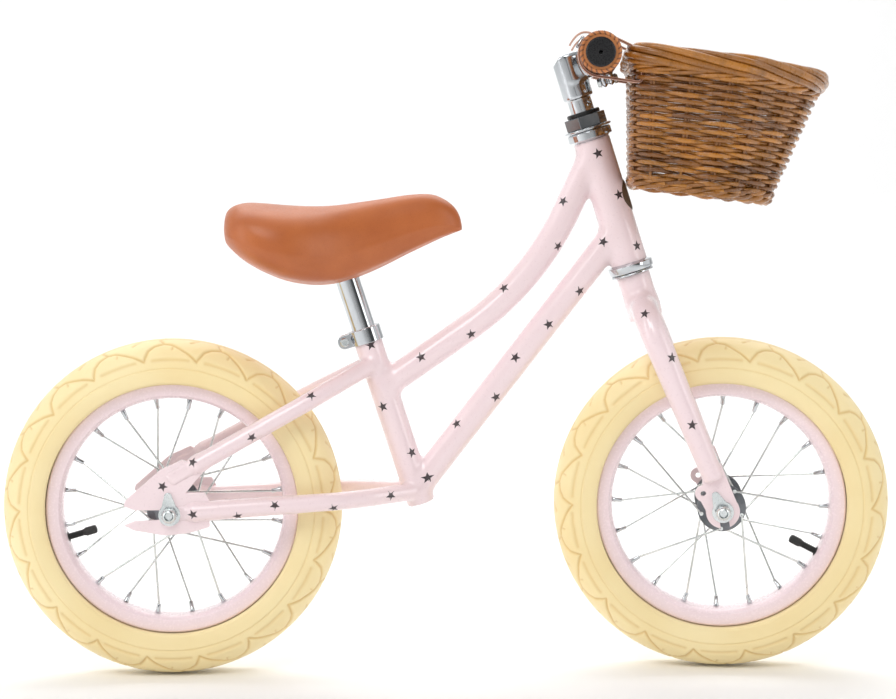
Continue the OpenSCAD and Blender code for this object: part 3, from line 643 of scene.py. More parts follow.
def turned_piece(name, profile, mat, at, steps=64, about="Z", closed=False, bevel=0.35):
    """A lathe-turned piece: (radius, height) points spun about Z, or about Y for a wheel part."""
    around = np.linspace(0, 2 * math.pi, steps, endpoint=False)
    r, h = np.array(profile, float).T
    x, y = np.outer(r, np.cos(around)), np.outer(r, np.sin(around))
    z = np.outer(h, np.ones(steps))
    points = np.stack([x, y, z] if about == "Z" else [x, z, y], -1).reshape(-1, 3)
    rings = len(profile)
    faces = [(i * steps + k, i * steps + (k + 1) % steps,
              (i + 1) % rings * steps + (k + 1) % steps, (i + 1) % rings * steps + k)
             for i in range(rings if closed else rings - 1) for k in range(steps)]
    return solid_piece(name, points, faces, mat, at, 35.0, bevel)


for name, profile, body in (
        ("headset_lower_cup",
         [(15, 3), (21, 0), (21, -5.4), (20.2, -6.7), (19.2, -6.7), (19.2, -2.4), (14, -2.4), (14, 3)],
         "frame"),
        ("crown_race", [(12.8, -9.4), (20, -9.4), (20, -8.2), (17.5, -5.2), (12.8, -5.2)], "fork")):
    fitted(turned_piece(name + "_turned", profile, chrome, HEAD if body == "frame" else STEER, closed=True),
           body, "chrome_steel", name)
fitted(turned_piece("headset_upper_cup_turned",
                    [(15, 118), (17.4, 120.8), (20.5, 122.2), (20.5, 128.2), (19.6, 129.5), (18.5, 129.5),
                     (18.5, 124), (14, 124), (14, 118)], chrome, HEAD, closed=True),
       "frame", "chrome_steel", "headset_upper_cup")
fitted(turned_piece("headset_top_race_turned",
                    [(12.8, 130), (21.2, 130), (22, 130.6), (22, 131.9), (21, 132.5), (12.8, 132.5)],
                    chrome, STEER, closed=True), "fork", "chrome_steel", "headset_top_race")
fitted(turned_piece("headset_seal_ring",
                    [(11.9, 143.6), (15.2, 143.6), (15.5, 144.4), (15.5, 146.6), (14.6, 147.5), (11.9, 147.5)],
                    black_plastic, STEER, closed=True), "fork", "black_plastic", "headset_seal")


def hex_nut(name, flats, h0, h1, bore, mat, at, turn=0.0):
    """A six-sided nut with rounded corners and a round bore."""
    outer = [(flats / math.sqrt(3) * math.cos(a), flats / math.sqrt(3) * math.sin(a))
             for a in np.radians(np.arange(6) * 60 + turn)]
    ring = 36
    hole = [(bore * math.cos(a), bore * math.sin(a))
            for a in np.radians(np.arange(ring) * 360 / ring + turn)]
    points = [(x, y, h) for h in (h0, h1) for x, y in outer + hole]
    n = 6 + ring
    faces = []
    for i in range(6):
        j = (i + 1) % 6
        faces.append((i, j, j + n, i + n))
        fan = [6 + (i * 6 + k) % ring for k in range(7)]
        faces.append((i, j, *fan[::-1]))
        faces.append((j + n, i + n, *[k + n for k in fan]))
    for k in range(ring):
        m = (k + 1) % ring
        faces.append((6 + k, 6 + m, 6 + m + n, 6 + k + n))
    return solid_piece(name, points, faces, mat, at, 30.0, 0.8)


fitted(hex_nut("headset_locknut_hex", 34, 132.6, 143.5, 12.8, plain_steel, STEER, 12), "fork",
       "plain_steel", "headset_locknut")
for name, mat in (("fork_steerer", plain_steel), ("headset_bearings", plain_steel)):
    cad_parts[name].data.materials.clear()
    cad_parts[name].data.materials.append(mat)

# ---- Wheels: tyres ------------------------------------------------------
# Cream balloon tyres moulded with scalloped shoulder blocks: eighteen arched
# grooves a side, a long shallow slot under each arch, short sipes between,
# and a thin raised line low on the wall.

cream_rubber = plain("cream_tyre", (0.93, 0.79, 0.52), 0.5, Sheen_Weight=0.15, Sheen_Roughness=0.5)
rubber_tree = cream_rubber.node_tree
cream_clouds = clouded(cream_rubber, (0.90, 0.72, 0.37), (0.94, 0.79, 0.45), (0.42, 0.56), 14.0, 380.0)
# The cuts are coloured a darker tan from the groove attribute: painted shade in the grooves.
groove_shade_read = rubber_tree.nodes.new("ShaderNodeAttribute")
groove_shade_read.attribute_name = "groove"
rubber_tree.links.new(
    blended(rubber_tree, spread(rubber_tree, groove_shade_read.outputs["Fac"], 0.0, 1.0, 0.0, 0.75),
            cream_clouds.outputs["Color"], (0.72, 0.47, 0.16)),
    rubber_tree.nodes["Principled BSDF"].inputs["Base Color"])
bumped(cream_rubber, cream_clouds.outputs["Grain"], 0.22, 0.15)
REAR_HUB_AT, FRONT_HUB_AT = REAR_AXLE, FRONT_AXLE
TYRE_R, TYRE_S, BLOCKS, GROOVE = 127.5, 28.4, 18, 1.35


def line_depth(a, b, chain, width):
    """Depth from 0 to 1 of a round-bottomed groove that follows a chain of points."""
    near = np.full(a.shape, 1e9)
    chain = np.array(chain, float)
    for p, q in zip(chain[:-1], chain[1:]):
        d = q - p
        t = np.clip(((a - p[0]) * d[0] + (b - p[1]) * d[1]) / (d @ d), 0, 1)
        near = np.minimum(near, np.hypot(a - p[0] - t * d[0], b - p[1] - t * d[1]))
    return np.exp(-(near / width) ** 2 * 1.2)


def tyre(name, at, body, node, flip):
    steps = 900
    phi = np.radians(np.concatenate([
        np.linspace(-128, -94, 9), np.linspace(-90, -20, 38), np.linspace(-16, 16, 9),
        np.linspace(20, 90, 38), np.linspace(94, 128, 9)]))
    theta = np.linspace(0, 2 * math.pi, steps, endpoint=False)
    p, t = np.meshgrid(phi, theta)
    cell = 2 * math.pi / BLOCKS
    shift = np.where(p > 0, cell / 2, 0.0)
    along = ((t * flip + shift) % cell) * 140.0
    width = cell * 140.0
    up = np.abs(p) * TYRE_S
    arch = [(0, 33.6), (0.11, 23.0), (0.22, 18.0), (0.385, 14.9),
            (0.52, 16.5), (0.65, 21.2), (0.84, 27.6), (1, 33.6)]
    chain = [(u * width, v) for u, v in arch]
    cuts = line_depth(along, up, chain, 1.25)
    sipe = [(0.385 * width, 14.9), (0.30 * width, 7.0), (0.42 * width, 1.5)]
    cuts = np.maximum(cuts, line_depth(along, up, sipe, 1.1))
    cuts = np.maximum(cuts, line_depth(along, up, [(0.84 * width, 12.5), (0.97 * width, 6.5)], 1.0))
    cuts = np.maximum(cuts, 0.75 * line_depth(along, up, [(0.56 * width, 17.0), (0.53 * width, 23.0)], 0.8))
    cuts = np.maximum(cuts, 0.55 * line_depth(along, up, [(0.17 * width, 33.4), (0.84 * width, 33.4)], 1.7))
    cuts = np.maximum(cuts, 0.8 * np.exp(-((up - 4.6) / 0.9) ** 2))
    cuts = np.maximum(cuts, 0.35 * np.exp(-((up - 41.8) / 0.5) ** 2))
    raised = 0.35 * np.exp(-((up - 43.1) / 0.7) ** 2) + 0.5 * np.exp(-((up - 57.5) / 1.4) ** 2)
    inside = ((1 - (along / width - 0.5) ** 2 * 3.4) * 15.0 + 14.0 < up) & (up < 33)
    raised += 0.25 * inside - 0.2 * (up > 36.0)
    section = TYRE_S - GROOVE * cuts + raised
    r = TYRE_R + section * np.cos(p)
    tuck = np.clip((np.abs(np.degrees(p)) - 114.5) / 13.5, 0, 1)
    half = np.where(tuck > 0, 25.6 - 12.5 * tuck, section * np.abs(np.sin(p)))
    r = np.maximum(r, 115.3 + 1.2 * tuck)
    points = np.stack([r * np.cos(t), np.sign(p) * half, r * np.sin(t)], -1).reshape(-1, 3)
    n = len(phi)
    i, k = np.meshgrid(np.arange(steps), np.arange(n - 1), indexing="ij")
    j = (i + 1) % steps
    faces = np.stack([i * n + k, j * n + k, j * n + k + 1, i * n + k + 1], -1).reshape(-1, 4)
    first_i, first_j = i[:, :1] * n, j[:, :1] * n
    inner = np.stack([first_i, first_i + n - 1, first_j + n - 1, first_j], -1).reshape(-1, 4)
    obj = solid_piece(name, points, np.vstack([faces, inner]).tolist(), cream_rubber, at, 60.0)
    # The groove attribute carries the cut depth that the tyre material turns into painted groove shade.
    groove_shade_mark = obj.data.attributes.new("groove", "FLOAT", "POINT")
    groove_shade_mark.data.foreach_set("value", np.clip(cuts, 0, 1).astype(np.float32).ravel())
    fitted(obj, body, "cream_tyre", node)


tyre("rear_tyre_moulded", REAR_HUB_AT, "rear_wheel", "rear_tyre", -1)
tyre("front_tyre_moulded", FRONT_HUB_AT, "front_wheel", "front_tyre", -1)

# ---- Wheels: rims, tubes and hubs ---------------------------------------
# Rolled steel rims painted a cooler pink, dark hubs with pressed flanges on a
# zinc axle, and black inner tubes whose valves stand through the rims.

rim_paint = plain("rim_paint", (0.84, 0.66, 0.70), 0.3, Coat_Weight=0.5, Coat_Roughness=0.08)
rim_clouds = clouded(rim_paint, (0.91, 0.745, 0.785), (0.925, 0.765, 0.80), (0.24, 0.29), 11.0, 420.0)
bumped(rim_paint, rim_clouds.outputs["Grain"], 0.03, 0.03)
dark_metal = plain("dark_metal", (0.09, 0.09, 0.1), 0.35, 0.75)
dark_clouds = clouded(dark_metal, (0.10, 0.11, 0.12), (0.21, 0.22, 0.235), (0.25, 0.4), 40.0, 400.0)
bumped(dark_metal, dark_clouds.outputs["Grain"], 0.12, 0.1)
black_rubber = plain("black_rubber", (0.025, 0.025, 0.025), 0.6)
clouded(black_rubber, (0.018, 0.018, 0.018), (0.035, 0.035, 0.035), (0.5, 0.7), 30.0, 500.0)

RIM_SECTION = [(114.2, 16.5), (115.6, 15.6), (115.3, 14.2), (107.2, 13.6), (106.4, 0), (107.2, -13.6),
               (115.3, -14.2), (115.6, -15.6), (114.2, -16.5), (109, -16.5), (104.4, -15.4), (101.9, -11.5),
               (101.1, -5.5), (101.0, 0), (101.1, 5.5), (101.9, 11.5), (104.4, 15.4), (109, 16.5)]
HUB_SECTION = [(6, 33), (11.3, 33), (12.4, 32.3), (15, 31.2), (15, 29.6), (21.6, 29.2), (22.5, 28.4),
               (22.5, 26.6), (21.6, 25.9), (14.6, 25.4), (12.6, 20), (11.6, 10), (11.6, -10), (12.6, -20), (14.6, -25.4),
               (21.6, -25.9), (22.5, -26.6), (22.5, -28.4), (21.6, -29.2), (15, -29.6), (15, -31.2),
               (12.4, -32.3), (11.3, -33), (6, -33)]


def wheel_metal(wheel, at, valve_angle):
    body = wheel + "_wheel"
    fitted(turned_piece(wheel + "_rim_rolled", RIM_SECTION, rim_paint, at, 160, "Y", True, 0.3),
           body, "rim_paint", wheel + "_rim")
    fitted(turned_piece(wheel + "_hub_shell", HUB_SECTION, dark_metal, at, 72, "Y", True, 0.3),
           body, "dark_metal", wheel + "_hub")
    seals = [turned_piece(f"{wheel}_seal_{s}",
                          [(4.2, s * 33.1), (9, s * 33.4), (11.2, s * 33.1), (11.2, s * 27), (4.2, s * 27)],
                          plain_steel, at, 48, "Y", True, 0.25) for s in (-1, 1)]
    fitted(joined(wheel + "_hub_seals", seals), body, "plain_steel", wheel + "_hub_bearings")
    out = at @ turned_by(-valve_angle, "Y") @ turned_by(90, "Y")
    stem = [(0, 74), (1.9, 74), (3.4, 74.6), (4, 76), (4, 84.4), (3.3, 85.2), (3.3, 86)]
    for h in np.arange(86.4, 99.5, 0.9):
        stem += [(3.1, h), (2.75, h + 0.45)]
    stem += [(3.0, 100), (5.6, 101.2), (5.6, 106), (0, 106)]
    valve = turned_piece(wheel + "_valve", stem, black_rubber, out, 28, "Z", False, 0.0)
    ring = [(127.5 + 23 * math.cos(a), 23 * math.sin(a)) for a in np.radians(np.arange(0, 360, 15))]
    ring = [(max(r, 118.3), h) for r, h in ring]
    tube = turned_piece(wheel + "_tube_ring", ring, black_rubber, at, 96, "Y", True, 0.0)
    fitted(joined(wheel + "_tube_and_valve", [tube, valve]), body, "black_rubber", wheel + "_inner_tube")


wheel_metal("rear", REAR_HUB_AT, 196)
wheel_metal("front", FRONT_HUB_AT, -27)


def axle_set(wheel, at, plate_y, lean, body):
    rod = [(0, -plate_y - 10), (3.3, -plate_y - 10), (4, -plate_y - 9.3)]
    for h in np.arange(-plate_y - 9, -plate_y + 2, 1.0):
        rod += [(4.0, h), (3.6, h + 0.5)]
    rod += [(4, -plate_y + 2), (7.5, -plate_y + 2.05), (7.5, -37.7),
            (9.5, -37.6), (9.5, -34.4), (8.8, -33.7), (4, -33.6)]
    rod += [(r, -h) for r, h in rod[::-1]]
    fitted(turned_piece(wheel + "_axle_turned", rod, zinc_steel, at, 40, "Y", False, 0.0),
           body, "zinc_steel", wheel + "_axle")
    nuts, washers = [], []
    for s in (-1, 1):
        outer = plate_y + 4
        facing = at @ turned_by(90 if s < 0 else -90, "X")
        nuts.append(hex_nut(f"{wheel}_nut_{s}", 13, outer, outer + 6, 4.05, zinc_steel, facing, 8 * s + 5))
        nuts.append(turned_piece(f"{wheel}_dome_{s}",
                                 [(4.05, outer + 5.9), (6.3, outer + 5.9), (6.1, outer + 7.2),
                                  (5.2, outer + 8.4), (4.05, outer + 9)], zinc_steel, facing, 40, "Z", True, 0.0))
        nose = math.radians(90 + lean)
        outline = [(10 * math.cos(a), 10 * math.sin(a))
                   for a in np.radians(np.linspace(lean + 130, lean + 410, 30))]
        outline += [(17 * math.cos(nose) + 3.4 * math.cos(a), 17 * math.sin(nose) + 3.4 * math.sin(a))
                    for a in np.radians(np.linspace(lean + 10, lean + 170, 12))]
        y0 = -plate_y - 4 if s < 0 else plate_y + 2
        washers.append(plate(f"{wheel}_washer_{s}", outline, [round_hole((0, 0), 4.1)],
                             y0, 2, zinc_steel, at, 0.4))
    fitted(joined(wheel + "_dome_nuts", nuts), body, "zinc_steel", wheel + "_axle_nuts")
    fitted(joined(wheel + "_hooked_washers", washers), body, "zinc_steel", wheel + "_hook_washers")


axle_set("rear", REAR_AXLE, 50, 4, "frame")
axle_set("front", FRONT_AXLE, 47, 24, "fork")

# ---- Wheels: spokes and nipples -----------------------------------------
# Twenty crossed wire spokes a wheel, hooked through the hub flanges, with a
# headed elbow at the root and a plated nipple drawn up in the rim.


def strand_tree(name, mat, sides):
    """Turns guide lines into round strands: radius per point, sides and finish from its inputs."""
    tree = bpy.data.node_groups.new(name, "GeometryNodeTree")
    face = tree.interface
    face.new_socket("Guides", in_out="INPUT", socket_type="NodeSocketGeometry")
    swell = face.new_socket("Thickness", in_out="INPUT", socket_type="NodeSocketFloat")
    swell.default_value = 1.0
    count = face.new_socket("Sides", in_out="INPUT", socket_type="NodeSocketInt")
    count.default_value = sides
    finish = face.new_socket("Finish", in_out="INPUT", socket_type="NodeSocketMaterial")
    face.new_socket("Strands", in_out="OUTPUT", socket_type="NodeSocketGeometry")
    start, end = tree.nodes.new("NodeGroupInput"), tree.nodes.new("NodeGroupOutput")
    curve = tree.nodes.new("GeometryNodeMeshToCurve")
    thick = tree.nodes.new("GeometryNodeSetCurveRadius")
    read = tree.nodes.new("GeometryNodeInputNamedAttribute")
    read.data_type = "FLOAT"
    read.inputs["Name"].default_value = "thick"
    scale = tree.nodes.new("ShaderNodeMath")
    scale.operation = "MULTIPLY"
    ring = tree.nodes.new("GeometryNodeCurvePrimitiveCircle")
    ring.inputs["Radius"].default_value = 1.0
    skin = tree.nodes.new("GeometryNodeCurveToMesh")
    skin.inputs["Fill Caps"].default_value = True
    smooth = tree.nodes.new("GeometryNodeSetShadeSmooth")
    real = tree.nodes.new("GeometryNodeRealizeInstances")
    paint = tree.nodes.new("GeometryNodeSetMaterial")
    link = tree.links.new
    link(start.outputs["Guides"], curve.inputs["Mesh"])
    link(curve.outputs["Curve"], thick.inputs["Curve"])
    link(read.outputs["Attribute"], scale.inputs[0])
    link(start.outputs["Thickness"], scale.inputs[1])
    link(scale.outputs["Value"], thick.inputs["Radius"])
    link(start.outputs["Sides"], ring.inputs["Resolution"])
    link(thick.outputs["Curve"], skin.inputs["Curve"])
    link(ring.outputs["Curve"], skin.inputs["Profile Curve"])
    if "Scale" in skin.inputs:
        link(scale.outputs["Value"], skin.inputs["Scale"])
    link(skin.outputs["Mesh"], smooth.inputs["Geometry"])
    link(smooth.outputs["Geometry"], real.inputs["Geometry"])
    link(real.outputs["Geometry"], paint.inputs["Geometry"])
    link(start.outputs["Finish"], paint.inputs["Material"])
    link(paint.outputs["Geometry"], end.inputs["Strands"])
    return tree, {"Sides": (count.identifier, sides), "Finish": (finish.identifier, mat)}


def strands(name, lines, mat, sides=8, at=IN_PLACE):
    """Round strands as one plain mesh. A line is (points in mm, radii in mm, tint)."""
    tree, settings = strand_tree(name + "_strands", mat, sides)
    points, edges, thick, tint, run = [], [], [], [], []
    for path, radii, tone in lines:
        path = np.asarray(path, float)
        base = len(points)
        points += path.tolist()
        edges += [(base + i, base + i + 1) for i in range(len(path) - 1)]
        thick += np.broadcast_to(np.asarray(radii, float), (len(path),)).tolist()
        tint += [tone] * len(path)
        steps = np.concatenate([[0], np.cumsum(np.linalg.norm(np.diff(path, axis=0), axis=1))])
        run += (steps * MM + tone * 7).tolist()
    mesh = bpy.data.meshes.new(name + "_guides")
    mesh.from_pydata([tuple(p) for p in placed(points, at)], edges, [])
    for label, values in (("thick", np.array(thick) * MM), ("tint", tint), ("run", run)):
        mesh.attributes.new(label, "FLOAT", "POINT").data.foreach_set("value", np.array(values, np.float32))
    guides = bpy.data.objects.new(name + "_guides", mesh)
    scene.collection.objects.link(guides)
    maker = guides.modifiers.new("strands", "NODES")
    maker.node_group = tree
    for identifier, value in settings.values():
        maker[identifier] = value
    bpy.context.view_layer.update()
    whole = bpy.data.meshes.new_from_object(guides.evaluated_get(bpy.context.evaluated_depsgraph_get()))
    guides.modifiers.remove(maker)
    bpy.data.objects.remove(guides)
    whole.name = name
    work = bmesh.new()
    work.from_mesh(whole)
    bmesh.ops.recalc_face_normals(work, faces=work.faces)
    work.to_mesh(whole)
    work.free()
    obj = bpy.data.objects.new(name, whole)
    scene.collection.objects.link(obj)
    return obj


spoke_steel = plain("spoke_steel", (0.66, 0.69, 0.69), 0.22, 1.0)
clouded(spoke_steel, (0.56, 0.60, 0.60), (0.76, 0.78, 0.77), (0.16, 0.3), 50.0, 600.0)
SPOKES, CROSS, RIM_IN = 20, math.radians(54), 101.0


def spoke_set(wheel, at, first):
    wires, nipples = [], []
    for k in range(SPOKES):
        side = -1 if k % 2 == 0 else 1
        lead = 1 if (k // 2) % 2 == 0 else -1
        a = math.radians(first + k * 18)
        root = a + lead * CROSS
        hole = np.array([19.5 * math.cos(root), 0, 19.5 * math.sin(root)])
        y_root = side * (27.5 + 2.6 * lead)
        tip = np.array([(RIM_IN - 9) * math.cos(a), side * 5.7, (RIM_IN - 9) * math.sin(a)])
        seat = np.array([RIM_IN * math.cos(a), side * 3.0, RIM_IN * math.sin(a)])
        start = hole + [0, y_root, 0]
        way = (tip - start) / np.linalg.norm(tip - start)
        head_y = side * (27.5 - 2.9 * lead)
        wires.append(([hole + [0, head_y, 0], hole + [0, head_y + side * lead * 0.9, 0]], [1.9, 1.2], 0.5))
        wires.append(([hole + [0, head_y + side * lead * 0.6, 0], hole + [0, y_root - side * lead * 0.9, 0],
                       start + 0.5 * way - [0, side * lead * 0.2, 0], start + 1.8 * way, tip + 3 * way],
                      [1.0, 1.0, 1.0, 1.0, 1.0], k / SPOKES))
        out = (seat - tip) / np.linalg.norm(seat - tip)
        length = np.linalg.norm(seat - tip)
        nipples.append(([tip - 0.4 * out, tip, tip + 5.5 * out, tip + 6.1 * out, tip + length * out],
                        [1.45, 2.0, 2.1, 2.4, 2.5], k / SPOKES))
    body = wheel + "_wheel"
    fitted(strands(wheel + "_wire_spokes", wires, spoke_steel, 10, at), body, "plain_steel", wheel + "_spokes")
    fitted(strands(wheel + "_spoke_nipples", nipples, chrome, 8, at), body, "chrome_steel", wheel + "_nipples")


spoke_set("rear", REAR_HUB_AT, 9)
spoke_set("front", FRONT_HUB_AT, -1)

# ---- Stem and handlebar -------------------------------------------------
# A forged, chromed stem clamps a straight chromed bar and slides in the
# steerer; a long draw bolt and wedge hold it, and a small bolt under the
# clamp pinches the bar.

BAR = STEER @ moved(30, 0, 190.5) @ turned_by(HEAD_LEAN, "Y")


def stem_distance(p):
    quill = rod_distance(p, (0, 0, 62), (0, 0, 168), 11.05, 11.05, 0.5)
    body = rod_distance(p, (0, 0, 160), (0, 0, 201.5), 14, 14, 2.0)
    slope = np.array([-math.sin(math.radians(40)), 0, math.cos(math.radians(40))])
    body = np.maximum(body, (p - np.array([-8.5, 0, 199.0])) @ slope)
    arm = np.stack([np.abs(p[:, 0] - 15) - 15, np.abs(p[:, 1]) - 10, np.abs(p[:, 2] - 188.5) - 11], 1)
    arm = np.minimum(arm.max(1), 0) + np.linalg.norm(np.maximum(arm, 0), axis=1) - 2.0
    clamp = rod_distance(p, (30, -17, 190.5), (30, 17, 190.5), 17.5, 17.5, 1.5)
    ears = np.stack([np.abs(p[:, 0] - 30) - 5, np.abs(p[:, 1]) - 13, np.abs(p[:, 2] - 170.5) - 7.0], 1)
    ears = np.minimum(ears.max(1), 0) + np.linalg.norm(np.maximum(ears, 0), axis=1) - 1.0
    whole = soft_union(soft_union(body, arm, 5.0), soft_union(clamp, ears, 3.0), 5.0)
    whole = np.minimum(whole, quill)
    slot = np.maximum(np.abs(p[:, 0] - 30) - 0.8, p[:, 2] - 180)
    bolt_well = np.maximum(np.hypot(p[:, 0], p[:, 1]) - 7.0, 196.5 - p[:, 2])
    return np.maximum(np.maximum(whole, -slot), -bolt_well)


stem_rods = [([(0, 0, 62), (0, 0, 168)], 11), ([(0, 0, 160), (0, 0, 201)], 14),
             ([(0, 0, 189), (30, 0, 189)], 12),
             ([(30, -17, 190.5), (30, 17, 190.5)], 17.5), ([(30, -12, 172), (30, 12, 172)], 8)]
stem_skin = welded("chromed_stem", stem_rods, stem_distance, chrome, 0.9, STEER)
fitted(stem_skin, "handlebar_set", "chrome_steel", "stem")
draw_bolt = [turned_piece("draw_bolt_shank", [(0, 38), (4, 38), (4, 196.5), (6.4, 196.5), (6.6, 197),
                                              (6.6, 201), (6.0, 201.6), (3.2, 201.6), (3.2, 198), (0, 198)],
                          zinc_steel, STEER, 36, "Z", False, 0.0),
             turned_piece("draw_bolt_wedge", [(0, 37), (10.6, 37), (10.6, 61.5), (0, 61.5)],
                          zinc_steel, STEER, 36)]
fitted(joined("draw_bolt_and_wedge", draw_bolt), "handlebar_set", "zinc_steel", "stem_expander")
ACROSS_STEM = STEER @ moved(30, 0, 167.5) @ turned_by(90, "Y")
pinch = [turned_piece("pinch_shank",
                      [(0, -9), (2.5, -9), (2.5, 6), (4.5, 6.1), (4.6, 8.6), (3.4, 10), (0, 10.2)],
                      zinc_steel, ACROSS_STEM, 28, "Z", False, 0.0),
         hex_nut("pinch_nut", 8, -9.5, -6, 2.5, zinc_steel, ACROSS_STEM, 10)]
fitted(joined("stem_pinch_screw", pinch), "handlebar_set", "zinc_steel", "stem_pinch_bolt")
fitted(turned_piece("straight_bar",
                    [(9.5, -200), (11.1, -200), (11.1, -60), (11.1, 60), (11.1, 200), (9.5, 200)],
                    chrome, BAR, 48, "Y", True, 0.3), "handlebar_set", "chrome_steel", "handlebar")

# ---- Grips --------------------------------------------------------------
# Soft tan leather sleeves laced round the bar: a rope edging at each end, a
# stitched seam along the underside, and a black plug in the bar's end.


# Pebbled grain that every leather shares: rounded high cells and dyed valleys
pebble_group, pebble_in, pebble_out = new_group(
    "pebbled_grain",
    [("Pebble", "NodeSocketFloat", 1000.0), ("Dye", "NodeSocketColor", (0.5, 0.2, 0.1, 1)),
     ("Valley", "NodeSocketColor", (0.2, 0.1, 0.05, 1))],
    [("Color", "NodeSocketColor"), ("Height", "NodeSocketFloat")])
cells = pebble_group.nodes.new("ShaderNodeTexVoronoi")
cells.feature = "SMOOTH_F1"
pebble_group.links.new(pebble_in.outputs["Pebble"], cells.inputs["Scale"])
pebble_group.links.new(pebble_group.nodes.new("ShaderNodeTexCoord").outputs["Object"], cells.inputs["Vector"])
valleys = spread(pebble_group, cells.outputs["Distance"], 0.45, 0.85, 0.0, 0.22)
pebble_group.links.new(blended(pebble_group, valleys, pebble_in.outputs["Dye"], pebble_in.outputs["Valley"]),
                       pebble_out.inputs["Color"])
pebble_group.links.new(spread(pebble_group, cells.outputs["Distance"], 0.0, 0.75, 1.0, 0.0),
                       pebble_out.inputs["Height"])


def leather(name, dark, light, rough, pebble, depth):
    """A leather finish: cloudy dye under a pebbled grain."""
    mat = plain(name, light, rough[0], Coat_Weight=0.08, Coat_Roughness=0.3)
    tree = mat.node_tree
    dye = clouded(mat, dark, light, rough, 26.0, 420.0)
    grain = tree.nodes.new("ShaderNodeGroup")
    grain.node_tree = pebble_group
    grain.inputs["Pebble"].default_value = pebble
    grain.inputs["Valley"].default_value = (*(c * 0.55 for c in dark), 1.0)
    tree.links.new(dye.outputs["Color"], grain.inputs["Dye"])
    tree.links.new(grain.outputs["Color"], tree.nodes["Principled BSDF"].inputs["Base Color"])
    bumped(mat, grain.outputs["Height"], 0.5, depth)
    return mat


tan_leather = leather("tan_leather", (0.46, 0.155, 0.045), (0.62, 0.24, 0.075), (0.42, 0.58), 900.0, 0.16)
dark_lace = leather("laced_edge", (0.16, 0.06, 0.03), (0.26, 0.10, 0.045), (0.5, 0.65), 1200.0, 0.1)


def rope_strand(r, h, turns, wobble, steps, phase):
    """One strand of a rope ring of radius r at height h along Y."""
    a = np.linspace(0, 2 * math.pi, steps)
    w = turns * a + phase
    rr = r + wobble * np.cos(w)
    return np.stack([rr * np.cos(a), h + wobble * np.sin(w), rr * np.sin(a)], 1)


def ring_faces(rings, sides):
    """Quads between successive closed rings of points, the last ring joined to the first."""
    return [(i * sides + k, i * sides + (k + 1) % sides,
             (i + 1) % rings * sides + (k + 1) % sides, (i + 1) % rings * sides + k)
            for i in range(rings) for k in range(sides)]


GRIP_SIDES, GRIP_START, GRIP_END, ROPE_PLIES = 96, 81.6, 198.6, 3
for side, s in (("right", -1), ("left", 1)):
    sleeve = []
    around = np.linspace(0, 2 * math.pi, GRIP_SIDES, endpoint=False)
    for u in np.linspace(0, 1, 60):
        y = s * (GRIP_END - (GRIP_END - GRIP_START) * u)
        swell = 15.75 + 0.45 * math.sin(math.pi * u) + 0.12 * math.sin(u * 61)
        seam = 0.5 * np.exp(-((((around - 4.71 + math.pi) % (2 * math.pi)) - math.pi) / 0.05) ** 2)
        r = swell - seam
        sleeve.append(np.stack([r * np.cos(around), np.full(GRIP_SIDES, y), r * np.sin(around)], 1))
    inner = [np.stack([11.15 * np.cos(around), np.full(GRIP_SIDES, y), 11.15 * np.sin(around)], 1)
             for y in (s * GRIP_START, s * GRIP_END)]
    rings = sleeve + inner
    faces = ring_faces(len(rings), GRIP_SIDES)
    tube = solid_piece(f"grip_sleeve_{side}", np.concatenate(rings), faces, tan_leather, BAR, 50.0)
    ropes = [(rope_strand(15.9, y, 22, 0.85, 330, phase), 0.95, 0.5)
             for y in (s * 197.9, s * 82.1) for phase in (0.0, 2.09, 4.19)]
    seam_stitches = [([(15.4 * math.cos(-1.75), y, 15.4 * math.sin(-1.75)),
                       (16.5 * math.cos(-1.57), y + 1.2, 16.5 * math.sin(-1.57)),
                       (15.4 * math.cos(-1.39), y + 2.4, 15.4 * math.sin(-1.39))], 0.4, 0.3)
                     for y in np.arange(-194, -88, 4.4) * -s]
    tan_ropes = [rope for k, rope in enumerate(ropes) if k % ROPE_PLIES]
    edging = strands(f"grip_edging_{side}", tan_ropes, tan_leather, 6, BAR)
    lace = strands(f"grip_lacing_{side}", ropes[::ROPE_PLIES] + seam_stitches, dark_lace, 6, BAR)
    grip = joined(f"leather_grip_{side}", [tube, edging, lace])
    fitted(grip, "handlebar_set", "tan_leather", f"grip_{side}")
plugs = [turned_piece(f"plug_{s}", [(1.8, s * 195), (1.8, s * 202.1), (2.4, s * 202.5), (11.2, s * 202.5),
                                    (12.4, s * 201.6), (12.5, s * 200.1), (9.4, s * 200.1), (9.4, s * 190),
                                    (1.8, s * 190)],
                      black_plastic, BAR, 48, "Y", True, 0.2) for s in (-1, 1)]
fitted(joined("bar_end_plugs", plugs), "handlebar_set", "black_plastic", "grip_plugs")

# ---- Wicker basket ------------------------------------------------------
# A D-shaped basket of honey-brown steamed willow: eighteen stakes, walls of
# thin rods in plain weave, twisted waling at foot and top, and a thick border.

BASKET = BAR @ moved(20, 0, 8) @ turned_by(7, "Y") @ turned_by(-3, "X")
STAKES, ROWS = 18, 30
willow = plain("willow", (0.32, 0.15, 0.045), 0.34, Coat_Weight=0.35, Coat_Roughness=0.2)
willow_tree = willow.node_tree
tint_read = willow_tree.nodes.new("ShaderNodeAttribute")
tint_read.attribute_name = "tint"
run_read = willow_tree.nodes.new("ShaderNodeAttribute")
run_read.attribute_name = "run"
willow_clouds = clouded(willow, (0.13, 0.043, 0.007), (0.46, 0.175, 0.024), (0.22, 0.38), 30.0, 260.0)
by_strand = blended(willow_tree, tint_read.outputs["Fac"], (0.11, 0.036, 0.006), (0.62, 0.26, 0.038))
mixed = willow_tree.nodes.new("ShaderNodeMix")
mixed.data_type = "RGBA"
mixed.inputs["Factor"].default_value = 0.55
willow_tree.links.new(willow_clouds.outputs["Color"], mixed.inputs[6])
willow_tree.links.new(by_strand, mixed.inputs[7])
along_strand = willow_tree.nodes.new("ShaderNodeCombineXYZ")
